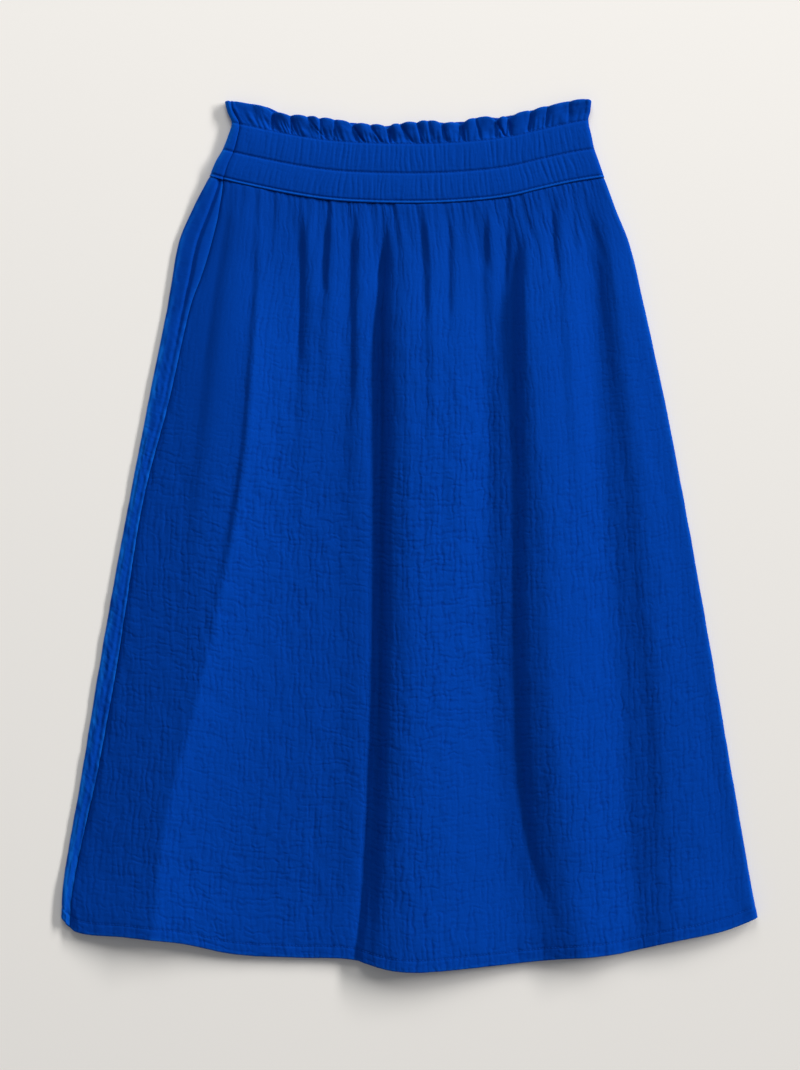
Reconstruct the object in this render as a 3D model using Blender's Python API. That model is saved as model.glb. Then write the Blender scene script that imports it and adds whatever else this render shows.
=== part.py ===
"""Gathered midi skirt in crinkled double gauze, laid flat and face up on a surface.

An elasticated paper-bag waistband (lower channel, upper channel and ruffled header) is sewn
to a gathered front and a gathered back panel. The skirt has turned a little as it was laid
down, so its left side seam shows on top and its right one lies underneath. Metres, +Z up, the
waist towards +Y. The origin is on the surface, under the middle of the laid skirt.
"""

import math
import random
from collections import namedtuple

import bmesh
import bpy

# Driving sizes, in metres
LOWER_CHANNEL = 0.0280
UPPER_CHANNEL = 0.0270
HEADER = 0.0200
GAUZE_WALL = 0.0014
HEM_WALL = 0.0022
HEM_DEPTH = 0.0120
BAND_WALL = 0.0026
HEADER_WALL = 0.0020
SEAM_GAP = 0.0003
ROLL_RADIUS = 0.0040

# Side outline of the panels: share of the way from waist seam to hem, left X, right X
SIDES = (
    ("down", "left", "right"),
    (0.000, -0.1836, 0.1794),
    (0.045, -0.1996, 0.1904),
    (0.090, -0.2120, 0.2024),
    (0.170, -0.2217, 0.2153),
    (0.333, -0.2438, 0.2392),
    (0.575, -0.2750, 0.2696),
    (0.818, -0.3027, 0.2980),
    (0.950, -0.3180, 0.3135),
    (1.000, -0.3200, 0.3200),
)

# The waist seam, left to right
WAIST_SEAM = (
    ("x", "y"),
    (-0.1840, 0.3302),
    (-0.1580, 0.3232),
    (-0.1000, 0.3114),
    (-0.0580, 0.3063),
    (0.0100, 0.3046),
    (0.0600, 0.3070),
    (0.0930, 0.3112),
    (0.1200, 0.3175),
    (0.1500, 0.3240),
    (0.1800, 0.3288),
)

# Edge of the hem, left to right
HEM_EDGE = (
    ("x", "y"),
    (-0.3200, -0.3520),
    (-0.3060, -0.3642),
    (-0.2600, -0.3682),
    (-0.2100, -0.3740),
    (-0.1600, -0.3845),
    (-0.1000, -0.3878),
    (-0.0550, -0.3892),
    (-0.0180, -0.3982),
    (0.0120, -0.4000),
    (0.0700, -0.3955),
    (0.1400, -0.3885),
    (0.1900, -0.3840),
    (0.2400, -0.3730),
    (0.2900, -0.3625),
    (0.3200, -0.3510),
)

# Side outline of the waistband: share of the way from waist seam to ruffled top, left X, right X
BAND_SIDES = (
    ("up", "left", "right"),
    (0.00, -0.1836, 0.1794),
    (0.20, -0.1780, 0.1745),
    (0.37, -0.1716, 0.1702),
    (0.55, -0.1668, 0.1672),
    (0.73, -0.1633, 0.1647),
    (0.86, -0.1670, 0.1665),
    (1.00, -0.1693, 0.1674),
)

# Free edge of the header over the crests of its ruffle waves, left to right
HEADER_TOP = (
    ("x", "y"),
    (-0.1695, 0.3988),
    (-0.1640, 0.3992),
    (-0.1465, 0.3966),
    (-0.1310, 0.3944),
    (-0.1160, 0.3878),
    (-0.1000, 0.3860),
    (-0.0730, 0.3832),
    (-0.0560, 0.3806),
    (-0.0360, 0.3780),
    (-0.0190, 0.3776),
    (0.0010, 0.3798),
    (0.0190, 0.3810),
    (0.0375, 0.3798),
    (0.0707, 0.3848),
    (0.0854, 0.3850),
    (0.1075, 0.3902),
    (0.1295, 0.3948),
    (0.1480, 0.3990),
    (0.1590, 0.4001),
    (0.1674, 0.3996),
)

# Notches between the front header's ruffle waves: X, how far each cuts into the free edge, and
# how deep it lies below the crests
NOTCHES = (
    ("x", "cut", "depth"),
    (-0.1600, 0.0000, 0.0006),
    (-0.1250, 0.0030, 0.0040),
    (-0.1085, 0.0014, 0.0026),
    (-0.0930, 0.0006, 0.0018),
    (-0.0820, 0.0012, 0.0026),
    (-0.0682, 0.0008, 0.0020),
    (-0.0515, 0.0028, 0.0042),
    (-0.0350, 0.0008, 0.0028),
    (-0.0195, 0.0030, 0.0042),
    (-0.0075, 0.0010, 0.0024),
    (0.0072, 0.0010, 0.0026),
    (0.0175, 0.0004, 0.0018),
    (0.0302, 0.0018, 0.0030),
    (0.0477, 0.0034, 0.0044),
    (0.0610, 0.0004, 0.0016),
    (0.0799, 0.0034, 0.0044),
    (0.0909, 0.0026, 0.0040),
    (0.1121, 0.0014, 0.0038),
    (0.1268, 0.0005, 0.0014),
    (0.1470, 0.0004, 0.0012),
    (0.1620, 0.0000, 0.0004),
)

# Left side seam, which shows on top: share of the way down, distance in from the left fold
SIDE_SEAM = (
    ("down", "inset"),
    (0.000, 0.0130),
    (0.020, 0.0185),
    (0.050, 0.0250),
    (0.085, 0.0285),
    (0.120, 0.0265),
    (0.165, 0.0205),
    (0.300, 0.0175),
    (0.420, 0.0120),
    (0.560, 0.0138),
    (0.640, 0.0150),
    (0.780, 0.0132),
    (0.885, 0.0100),
    (1.000, 0.0080),
)
RIGHT_SEAM_INSET = 0.0160
BAND_SEAM_INSET = (0.0128, 0.0056)

# Largest folds of the front: X of each one's left foot, crest and right foot at six stations
# down the panel
FOLD_STATIONS = (0.00, 0.15, 0.40, 0.65, 0.85, 1.00)
RIDGES = (
    ("line", "waist", "hip", "thigh", "knee", "calf", "hem"),
    ("left of A", -0.1695, -0.1880, -0.2245, -0.2660, -0.2920, -0.3030),
    ("crest of A", -0.1370, -0.1400, -0.1555, -0.1900, -0.2240, -0.2350),
    ("right of A", -0.0950, -0.0880, -0.0930, -0.1150, -0.1400, -0.1580),
    ("left of B", -0.0175, -0.0255, -0.0265, -0.0290, -0.0365, -0.0470),
    ("crest of B", 0.0030, -0.0070, 0.0110, 0.0100, -0.0010, -0.0050),
    ("right of B", 0.0835, 0.0810, 0.0740, 0.0780, 0.0900, 0.1040),
    ("left of C", 0.0835, 0.0810, 0.0690, 0.0745, 0.0910, 0.1155),
    ("crest of C", 0.1150, 0.1080, 0.1230, 0.1300, 0.1430, 0.1600),
    ("right of C", 0.1665, 0.1735, 0.1865, 0.1985, 0.2030, 0.2125),
    ("left of D", 0.1600, 0.1680, 0.1700, 0.1865, 0.1960, 0.1985),
    ("crest of D", 0.1780, 0.1900, 0.2110, 0.2290, 0.2390, 0.2460),
    ("right of D", 0.1900, 0.2220, 0.2520, 0.2850, 0.3100, 0.3280),
)

# Their heights, the share of the way down where they are full, and how slowly each side starts
# to rise from its foot
RIDGE_FORMS = (
    ("name", "height", "full", "left", "right"),
    ("A", 0.0130, 0.28, 1.7, 1.4),
    ("B", 0.0125, 0.20, 1.0, 1.5),
    ("C", 0.0118, 0.16, 2.0, 1.5),
    ("D", 0.0052, 0.16, 2.0, 1.6),
)
RIDGE_LOSS_AT_HEM = 0.22
RIDGE_LOSS_START = 0.70

# Smaller folds that hang from the gathers: X of the crest at the stations, widths of the left
# and the right flank, height, and the shares of the way down where it is full and starts to die
FOLDS = (
    ("waist", "hip", "thigh", "knee", "calf", "hem", "left", "right", "height", "full", "fade"),
    (0.042, 0.045, 0.046, 0.046, 0.048, 0.050, 0.020, 0.034, 0.0020, 0.12, 0.30),
    (-0.096, -0.088, -0.100, -0.104, -0.106, -0.108, 0.014, 0.026, 0.0030, 0.05, 0.16),
    (-0.070, -0.072, -0.078, -0.084, -0.088, -0.090, 0.012, 0.022, 0.0024, 0.04, 0.10),
    (-0.046, -0.046, -0.050, -0.056, -0.060, -0.062, 0.014, 0.022, 0.0030, 0.05, 0.22),
    (0.018, 0.022, 0.026, 0.030, 0.034, 0.036, 0.010, 0.020, 0.0018, 0.05, 0.14),
    (0.074, 0.078, 0.084, 0.092, 0.100, 0.104, 0.012, 0.020, 0.0022, 0.05, 0.16),
    (0.140, 0.146, 0.158, 0.170, 0.182, 0.190, 0.012, 0.022, 0.0016, 0.05, 0.20),
    (-0.152, -0.168, -0.190, -0.212, -0.236, -0.262, 0.014, 0.026, 0.0016, 0.05, 0.30),
)
FOLD_SHARE_AT_WAIST = 0.08
FADE_SPAN = 0.30

# Heights of the front's upper surface above the surface that the skirt lies on
SEAM_HEIGHT = 0.0062
PANEL_HEIGHT = 0.0040
SETTLE_SPAN = 0.30
LEFT_EDGE_LIFT = 0.0014
RIGHT_EDGE_LIFT = 0.0012
EDGE_SPAN = 0.0200
SIDE_SEAM_DIP = 0.0007
SIDE_SEAM_DIP_WIDTH = 0.0030

# Gathers run down from each ruffle wave, across both channels as puckers and into the panel.
# Waves, puckers and gathers stay under 200 in all. The back's are evenly deep.
GATHER_WIDTH = 0.0063
BACK_GATHER_WIDTH = 0.0120
UNEVENNESS = 0.42
GATHER_DEPTH = (0.0008, 0.0017)
GATHER_REACH = (0.08, 0.30)
BACK_GATHER_DEPTH = 0.0007
BACK_GATHER_REACH = 0.14
BACK_RUFFLES = 14
BACK_RUFFLE_CUT = (0.0004, 0.0020)
BACK_RUFFLE_DEPTH = 0.0010
SEEDS = {"front": 31, "back": 37}

# Waistband relief
BAND_HEIGHT = 0.0064
HEADER_RISE = 0.0036
CHANNEL_CROWN = 0.0012
PUCKER_DEPTH = (0.0004, 0.0011)
BACK_PUCKER_DEPTH = 0.0004
STITCH_GROOVE = 0.0006
EDGE_STITCH = 0.0025

# Rows of the panels as shares of the way down, and steps round the side folds
GATHERED_ROWS = (0.000, 0.018, 0.065)
PLAIN_ROWS = (0.125, 0.210, 0.330, 0.480, 0.650, 0.830)
ROLL_STEPS = 4
WRAP_STEPS = 2

BLUE_GAUZE = (0.0010, 0.0440, 0.3600)
BLUE_BAND = (0.0012, 0.0490, 0.3800)

BAND_TALL = LOWER_CHANNEL + UPPER_CHANNEL + HEADER
MIDDLE_STITCH = LOWER_CHANNEL
HEADER_STITCH = LOWER_CHANNEL + UPPER_CHANNEL


def column(table, name):
    """The values under one heading of a table."""
    place = table[0].index(name)
    return [row[place] for row in table[1:]]


def between(at, keys, values):
    """The value at a place in a table, on a smooth curve through its rows."""
    if at <= keys[0]:
        return values[0]
    if at >= keys[-1]:
        return values[-1]
    i = max(n for n in range(len(keys) - 1) if keys[n] <= at)
    span = keys[i + 1] - keys[i]
    low, high = max(i - 1, 0), min(i + 2, len(keys) - 1)
    slope_a = (values[i + 1] - values[low]) / (keys[i + 1] - keys[low])
    slope_b = (values[high] - values[i]) / (keys[high] - keys[i])
    s = (at - keys[i]) / span
    return (
        values[i] * (1 + 2 * s) * (1 - s) ** 2
        + values[i + 1] * s * s * (3 - 2 * s)
        + span * (slope_a * s * (1 - s) ** 2 - slope_b * s * s * (1 - s))
    )


def rise(at, start, end):
    """0 before start, 1 after end, and a smooth step between them."""
    s = min(max((at - start) / (end - start), 0.0), 1.0)
    return s * s * (3 - 2 * s)


def waist_line(x):
    """Y of the waist seam at X."""
    return between(x, column(WAIST_SEAM, "x"), column(WAIST_SEAM, "y"))


def header_top(x):
    """Y of the header's free edge at X, over the crests of its waves."""
    return between(x, column(HEADER_TOP, "x"), column(HEADER_TOP, "y"))


def hem_line(x):
    """Y of the hem's edge at X."""
    return between(x, column(HEM_EDGE, "x"), column(HEM_EDGE, "y"))


def sides_of(table, share):
    """X of the left and the right fold at a share of the way along a side outline."""
    places = column(table, table[0][0])
    left = between(share, places, column(table, "left"))
    right = between(share, places, column(table, "right"))
    return left, right


def side_seam_x(down):
    """X of the left side seam on top of the laid skirt."""
    inset = between(down, column(SIDE_SEAM, "down"), column(SIDE_SEAM, "inset"))
    return sides_of(SIDES, down)[0] + inset


def ridge_line(name, down):
    """X of a foot or crest of one of the largest folds."""
    return between(down, FOLD_STATIONS, RIDGES[column(RIDGES, "line").index(name) + 1][1:])


def ridge_height(x, down):
    """How far the largest folds lift the front at a point."""
    total = 0.0
    for name, height, full, left_start, right_start in RIDGE_FORMS[1:]:
        crest = ridge_line("crest of " + name, down)
        side, start = ("left of ", left_start) if x < crest else ("right of ", right_start)
        foot = ridge_line(side + name, down)
        share = min(max((x - foot) / (crest - foot), 0.0), 1.0)
        along = FOLD_SHARE_AT_WAIST + (1 - FOLD_SHARE_AT_WAIST) * rise(down, 0.0, full)
        along *= 1.0 - RIDGE_LOSS_AT_HEM * rise(down, RIDGE_LOSS_START, 1.0)
        total += height * math.sin(math.pi / 2 * share) ** start * along
    return total


def fold_height(x, down):
    """How far the folds lift the front at a point."""
    total = ridge_height(x, down)
    stations = len(FOLD_STATIONS)
    for fold in FOLDS[1:]:
        crest = between(down, FOLD_STATIONS, fold[:stations])
        left, right, height, full, fade = fold[stations:]
        flank = left if x < crest else right
        across = 0.5 + 0.5 * math.cos(math.pi * min(abs(x - crest) / flank, 1.0))
        along = FOLD_SHARE_AT_WAIST + (1 - FOLD_SHARE_AT_WAIST) * rise(down, 0.0, full)
        along *= 1.0 - rise(down, fade, fade + FADE_SPAN)
        total += height * across * along
    return total


def top_height(x, down):
    """Height of the laid skirt's upper surface, without its gathers."""
    left, right = sides_of(SIDES, down)
    height = SEAM_HEIGHT + (PANEL_HEIGHT - SEAM_HEIGHT) * rise(down, 0.0, SETTLE_SPAN)
    grown = rise(down, 0.0, SETTLE_SPAN)
    height += LEFT_EDGE_LIFT * grown * (1.0 - rise(x, left, left + EDGE_SPAN))
    height += RIGHT_EDGE_LIFT * grown * rise(x, right - EDGE_SPAN, right)
    height += 2 * (wall_at(down) - GAUZE_WALL)
    dip = math.exp(-(((x - side_seam_x(down)) / SIDE_SEAM_DIP_WIDTH) ** 2))
    return height + fold_height(x, down) - SIDE_SEAM_DIP * dip


def trough(phase):
    """0 on a wave's crests and 1 in its trough."""
    return 0.5 - 0.5 * math.cos(2 * math.pi * phase)


# A ruffle wave lies between two notches. Places and widths are shares of the band's half.
Notch = namedtuple("Notch", "place cut depth")
Ruffle = namedtuple("Ruffle", "first last")
Gather = namedtuple("Gather", "start width share reach ruffle")


def front_ruffles():
    """The front header's ruffle waves, between the notches of the table."""
    left, right = sides_of(BAND_SIDES, 1.0)
    start, end = left + BAND_SEAM_INSET[1], right - ROLL_RADIUS
    notches = [Notch((x - start) / (end - start), cut, depth) for x, cut, depth in NOTCHES[1:]]
    notches = [Notch(0.0, 0.0, 0.0), *notches, Notch(1.0, 0.0, 0.0)]
    return [Ruffle(*pair) for pair in zip(notches, notches[1:])]


def back_ruffles():
    """The back header's ruffle waves, side by side and of uneven width."""
    rng = random.Random(SEEDS["back"])
    widths = [1.0 + rng.uniform(-UNEVENNESS, UNEVENNESS) for _ in range(BACK_RUFFLES)]
    notches, place = [Notch(0.0, 0.0, BACK_RUFFLE_DEPTH)], 0.0
    for width in widths:
        place += width / sum(widths)
        notches.append(Notch(place, rng.uniform(*BACK_RUFFLE_CUT), BACK_RUFFLE_DEPTH))
    notches[-1] = Notch(1.0, 0.0, BACK_RUFFLE_DEPTH)
    return [Ruffle(*pair) for pair in zip(notches, notches[1:])]


def in_ruffle(ruffle, share, first, last):
    """A value that falls off from each of a wave's two notches towards its crest."""
    phase = (share - ruffle.first.place) / (ruffle.last.place - ruffle.first.place)
    return first * (1.0 - phase) ** 3 + last * phase**3


def gathers_of(side):
    """The gathers below each ruffle wave of a side, of uneven width, depth and reach."""
    front = side == "front"
    rng = random.Random(SEEDS[side] + 1)
    width_at_top = sides_of(BAND_SIDES, 1.0)[1] - sides_of(BAND_SIDES, 1.0)[0]
    usual = (GATHER_WIDTH if front else BACK_GATHER_WIDTH) / width_at_top
    gathers = []
    for ruffle in front_ruffles() if front else back_ruffles():
        width = ruffle.last.place - ruffle.first.place
        count = max(1, round(width / usual))
        parts = [1.0 + rng.uniform(-UNEVENNESS, UNEVENNESS) for _ in range(count)]
        start = ruffle.first.place
        for part in parts:
            span = width * part / sum(parts)
            gathers.append(Gather(start, span, rng.random(), rng.uniform(*GATHER_REACH), ruffle))
            start += span
    return gathers


def across_gathers(gathers, steps):
    """Points across a run of gathers: the share of the way, the gather, and its phase there."""
    points = [
        (gather.start + gather.width * step / steps, gather, step / steps)
        for gather in gathers
        for step in range(steps)
    ]
    return [*points, (1.0, gathers[-1], 1.0)]


def scaled(limits, share):
    """A size between two limits."""
    return limits[0] + (limits[1] - limits[0]) * share


def panel_y(x, down):
    """Y of a point of a panel, from its X and its share of the way down."""
    left, right = sides_of(SIDES, down)
    share = (x - left) / (right - left)
    top_left, top_right = sides_of(SIDES, 0.0)
    foot_left, foot_right = sides_of(SIDES, 1.0)
    at_waist = waist_line(top_left + (top_right - top_left) * share) - SEAM_GAP / 2
    at_hem = hem_line(foot_left + (foot_right - foot_left) * share)
    return at_waist + (at_hem - at_waist) * down


def panel_rows():
    """Shares of the way down of the rows, which end at the hem's stitch line, turn and edge."""
    length = waist_line(0.0) - hem_line(0.0)
    stitch = 1.0 - HEM_DEPTH / length
    turned = 1.0 - 0.3 * HEM_DEPTH / length
    return [*GATHERED_ROWS, *PLAIN_ROWS, stitch, turned, 1.0]


def wall_at(down):
    """Thickness of the cloth: the gauze, and the turned-up hem."""
    *_, stitch, turned, _ = panel_rows()
    return GAUZE_WALL + (HEM_WALL - GAUZE_WALL) * rise(down, stitch - 0.001, turned)


def on_top(x, down, inset, lowered):
    """A point of the upper layer, sunk by inset and lowered by its gather."""
    return x, panel_y(x, down), top_height(x, down) - lowered - inset


def underneath(x, down, inset, raised):
    """A point of the lower layer, raised off the surface by its gather."""
    return x, panel_y(x, down), raised + inset


def round_fold(edge, out, turn, down, inset):
    """A point of a side fold. turn goes from 0 on top to 1 underneath."""
    height = top_height(edge - out * ROLL_RADIUS, down)
    angle = math.pi * turn
    x = edge - out * ROLL_RADIUS + out * (ROLL_RADIUS - inset) * math.sin(angle)
    return x, panel_y(x, down), height / 2 + (height / 2 - inset) * math.cos(angle)


def cloth_material(name, colour, roughness):
    """Plain woven cotton in one colour."""
    material = bpy.data.materials.new(name)
    material.use_nodes = True
    shader = material.node_tree.nodes["Principled BSDF"]
    shader.inputs["Base Color"].default_value = (*colour, 1.0)
    shader.inputs["Roughness"].default_value = roughness
    shader.inputs["Metallic"].default_value = 0.0
    return material


def thin_out(grid, first_row, last_column):
    """Take out every second column from a row onwards, up to a column."""

    def spare(vertex):
        at_column, at_row = round(vertex.co.x), round(vertex.co.y)
        return at_row >= first_row and at_column < last_column and at_column % 2 == 1

    doomed = [
        edge
        for edge in grid.edges
        if all(spare(vertex) for vertex in edge.verts)
        and round(edge.verts[0].co.x) == round(edge.verts[1].co.x)
    ]
    bmesh.ops.dissolve_edges(grid, edges=doomed, use_verts=True)


def cloth_wall(name, outer, inner, material, collection, thinned=None):
    """A closed wall between two matching sheets of points, each a list of rows.

    A flat grid gets its second layer from a solidify, and each vertex then moves to its point.
    """
    rows, columns = len(outer), len(outer[0])
    grid = bmesh.new()
    bmesh.ops.create_grid(grid, x_segments=columns - 1, y_segments=rows - 1, size=0.5)
    for vertex in grid.verts:
        vertex.co.x = round((vertex.co.x + 0.5) * (columns - 1))
        vertex.co.y = round((vertex.co.y + 0.5) * (rows - 1))
    bmesh.ops.solidify(grid, geom=grid.faces[:], thickness=1.0)
    if thinned:
        thin_out(grid, *thinned)
    highest = max(vertex.co.z for vertex in grid.verts)
    for vertex in grid.verts:
        sheet = outer if highest - vertex.co.z < 0.5 else inner
        vertex.co = sheet[round(vertex.co.y)][round(vertex.co.x)]
    bmesh.ops.triangulate(grid, faces=grid.faces[:], quad_method="SHORT_EDGE")
    bmesh.ops.recalc_face_normals(grid, faces=grid.faces[:])
    mesh = bpy.data.meshes.new(name)
    grid.to_mesh(mesh)
    grid.free()
    mesh.materials.append(material)
    mesh.shade_smooth()
    mesh.set_sharp_from_angle(angle=math.radians(50))
    wall = bpy.data.objects.new(name, mesh)
    collection.objects.link(wall)
    return wall


def front_panel(collection):
    """The gathered front: from the left side seam, over the right fold and a little way under."""
    gathers = gathers_of("front")
    columns = across_gathers(gathers, 4)

    def row(down, inset):
        right = sides_of(SIDES, down)[1]
        start, end = side_seam_x(down) + SEAM_GAP / 2, right - ROLL_RADIUS
        points = []
        for share, gather, phase in columns:
            depth = scaled(GATHER_DEPTH, gather.share) * (1.0 - rise(down, 0.0, gather.reach))
            x = start + (end - start) * share
            points.append(on_top(x, down, inset, depth * trough(phase)))
        for step in range(1, ROLL_STEPS + 1):
            points.append(round_fold(right, 1.0, step / ROLL_STEPS, down, inset))
        wrap = RIGHT_SEAM_INSET - ROLL_RADIUS
        for step in range(1, WRAP_STEPS + 1):
            points.append(underneath(end - wrap * step / WRAP_STEPS, down, inset, 0.0))
        return points

    outer = [row(down, 0.0) for down in panel_rows()]
    inner = [row(down, wall_at(down)) for down in panel_rows()]
    cotton = cloth_material("front_gauze", BLUE_GAUZE, 0.85)
    thinned = (len(GATHERED_ROWS), len(columns))
    return cloth_wall("front_panel", outer, inner, cotton, collection, thinned)


def back_panel(collection):
    """The gathered back: along the surface, up round the left fold and over to the side seam."""
    gathers = gathers_of("back")
    columns = across_gathers(gathers, 2)

    def row(down, inset):
        left, right = sides_of(SIDES, down)
        start, end = right - RIGHT_SEAM_INSET - SEAM_GAP, left + ROLL_RADIUS
        depth = BACK_GATHER_DEPTH * (1.0 - rise(down, 0.0, BACK_GATHER_REACH))
        points = []
        for share, _, phase in columns:
            x = start + (end - start) * share
            points.append(underneath(x, down, inset, depth * trough(phase)))
        for step in range(1, ROLL_STEPS + 1):
            points.append(round_fold(left, -1.0, 1.0 - step / ROLL_STEPS, down, inset))
        wrap = side_seam_x(down) - SEAM_GAP / 2 - end
        for step in range(1, WRAP_STEPS + 2):
            points.append(on_top(end + wrap * step / (WRAP_STEPS + 1), down, inset, 0.0))
        return points

    outer = [row(down, 0.0) for down in panel_rows()]
    inner = [row(down, wall_at(down)) for down in panel_rows()]
    cotton = cloth_material("back_gauze", BLUE_GAUZE, 0.85)
    return cloth_wall("back_panel", outer, inner, cotton, collection)


def band_rows():
    """Heights of the waistband's rows above the waist seam."""
    near = UPPER_CHANNEL / 5
    return [
        0.0,
        EDGE_STITCH,
        EDGE_STITCH + near,
        MIDDLE_STITCH - near,
        MIDDLE_STITCH,
        MIDDLE_STITCH + near,
        HEADER_STITCH - near,
        HEADER_STITCH,
        HEADER_STITCH + HEADER * 0.4,
        BAND_TALL,
    ]


def channel_crown(up):
    """How full an elastic channel is at a height: 0 on its stitch lines."""
    for start, end in ((EDGE_STITCH, MIDDLE_STITCH), (MIDDLE_STITCH, HEADER_STITCH)):
        if start < up < end:
            return math.sin(math.pi * (up - start) / (end - start)) ** 0.6
    return 0.0


def ruffle_share(up):
    """How far a height lies up the header, from 0 at its stitch line to 1 at its free edge."""
    return max(0.0, (up - HEADER_STITCH) / HEADER)


def band_wall(up):
    """Thickness of the band: two layers and elastic in the channels, two layers in the header."""
    return BAND_WALL + (HEADER_WALL - BAND_WALL) * ruffle_share(up)


def band_point(x, up, z, cut=0.0):
    """A point of the waistband at a height above the waist seam."""
    y = waist_line(x) + SEAM_GAP / 2 + min(up, HEADER_STITCH)
    return x, y + (header_top(x) - cut - y) * ruffle_share(up), z


def band_top(up):
    """Height of the front band's crests above the surface."""
    return BAND_HEIGHT + HEADER_RISE * ruffle_share(up)


def band_fold(edge, out, turn, up, inset):
    """A point of the waistband's side fold. turn goes from 0 on top to 1 underneath."""
    angle = math.pi * turn
    x = edge - out * ROLL_RADIUS + out * (ROLL_RADIUS - inset) * math.sin(angle)
    half = band_top(up) / 2
    return band_point(x, up, half + (half - inset) * math.cos(angle))


def band_seam_x(up):
    """X of the waistband's left side seam, on top."""
    left = sides_of(BAND_SIDES, up / BAND_TALL)[0]
    return left + scaled(BAND_SEAM_INSET, up / BAND_TALL)


def ruffle_depth(share, ruffle):
    """How far below the crests of its ruffle wave a point of the free edge lies."""
    return in_ruffle(ruffle, share, ruffle.first.depth, ruffle.last.depth)


def ruffle_cut(share, ruffle):
    """How far the notches beside a ruffle wave cut into its free edge."""
    return in_ruffle(ruffle, share, ruffle.first.cut, ruffle.last.cut)


def waistband_front(collection):
    """The front half: on top from the left side seam to the right fold, and a little way under."""
    gathers = gathers_of("front")
    columns = across_gathers(gathers, 2)

    def height(share, gather, phase, up, outside):
        z = band_top(up) - ruffle_share(up) * ruffle_depth(share, gather.ruffle)
        if not outside:
            return z - band_wall(up)
        crown = channel_crown(up)
        z += crown * (CHANNEL_CROWN - scaled(PUCKER_DEPTH, gather.share) * trough(phase))
        if up in (EDGE_STITCH, MIDDLE_STITCH, HEADER_STITCH):
            z -= STITCH_GROOVE
        return z

    def row(up, outside):
        right = sides_of(BAND_SIDES, up / BAND_TALL)[1]
        start, end = band_seam_x(up) + SEAM_GAP / 2, right - ROLL_RADIUS
        inset = 0.0 if outside else band_wall(up)
        points = []
        for share, gather, phase in columns:
            cut = ruffle_cut(share, gather.ruffle)
            z = height(share, gather, phase, up, outside)
            points.append(band_point(start + (end - start) * share, up, z, cut))
        for step in range(1, ROLL_STEPS + 1):
            points.append(band_fold(right, 1.0, step / ROLL_STEPS, up, inset))
        points.append(band_point(right - RIGHT_SEAM_INSET, up, inset))
        return points

    outer = [row(up, True) for up in band_rows()]
    inner = [row(up, False) for up in band_rows()]
    cotton = cloth_material("front_band_cotton", BLUE_BAND, 0.8)
    return cloth_wall("waistband_front", outer, inner, cotton, collection)


def waistband_back(collection):
    """The back half: along the surface and up over the left fold to the side seam."""
    gathers = gathers_of("back")
    columns = across_gathers(gathers, 2)

    def row(up, outside):
        left, right = sides_of(BAND_SIDES, up / BAND_TALL)
        start, end = right - RIGHT_SEAM_INSET - SEAM_GAP, left + ROLL_RADIUS
        inset = 0.0 if outside else band_wall(up)
        points = []
        for share, gather, phase in columns:
            z = ruffle_depth(share, gather.ruffle) * ruffle_share(up) + inset
            if outside:
                z += BACK_PUCKER_DEPTH * channel_crown(up) * trough(phase)
            cut = ruffle_cut(share, gather.ruffle)
            points.append(band_point(start + (end - start) * share, up, z, cut))
        for step in range(1, ROLL_STEPS + 1):
            points.append(band_fold(left, -1.0, 1.0 - step / ROLL_STEPS, up, inset))
        points.append(band_point(band_seam_x(up) - SEAM_GAP / 2, up, band_top(up) - inset))
        return points

    outer = [row(up, True) for up in band_rows()]
    inner = [row(up, False) for up in band_rows()]
    cotton = cloth_material("back_band_cotton", BLUE_BAND, 0.8)
    return cloth_wall("waistband_back", outer, inner, cotton, collection)


def clear_scene():
    for thing in list(bpy.data.objects):
        bpy.data.objects.remove(thing)


def main():
    clear_scene()
    skirt = bpy.data.collections.new("gathered_skirt")
    bpy.context.scene.collection.children.link(skirt)
    front_panel(skirt)
    back_panel(skirt)
    waistband_front(skirt)
    waistband_back(skirt)


main()
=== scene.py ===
import math

import bpy
import numpy as np
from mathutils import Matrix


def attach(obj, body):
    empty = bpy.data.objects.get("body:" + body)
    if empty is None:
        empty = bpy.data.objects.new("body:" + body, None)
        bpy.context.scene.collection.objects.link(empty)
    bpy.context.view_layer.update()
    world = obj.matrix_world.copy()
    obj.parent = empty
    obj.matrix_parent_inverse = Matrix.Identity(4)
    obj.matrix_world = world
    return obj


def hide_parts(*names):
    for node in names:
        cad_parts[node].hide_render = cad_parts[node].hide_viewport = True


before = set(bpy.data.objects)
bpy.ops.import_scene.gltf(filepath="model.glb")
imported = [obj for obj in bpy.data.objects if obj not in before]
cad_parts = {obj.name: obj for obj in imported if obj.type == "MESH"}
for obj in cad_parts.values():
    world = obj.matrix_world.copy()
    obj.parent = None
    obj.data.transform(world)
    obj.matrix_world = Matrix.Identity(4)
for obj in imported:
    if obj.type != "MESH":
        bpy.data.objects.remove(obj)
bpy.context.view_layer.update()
print("frame loaded:", sorted(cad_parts))


# small helpers

def srgb(hexText):
    # sRGB hex to the linear colour that the shaders take
    parts = [int(hexText[i : i + 2], 16) / 255 for i in (1, 3, 5)]
    linear = [c / 12.92 if c <= 0.04045 else ((c + 0.055) / 1.055) ** 2.4 for c in parts]
    return (*linear, 1.0)


def rise(at, start, end):
    # 0 before start, 1 after end, smooth between
    s = np.clip((at - start) / (end - start), 0.0, 1.0)
    return s * s * (3 - 2 * s)


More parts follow.
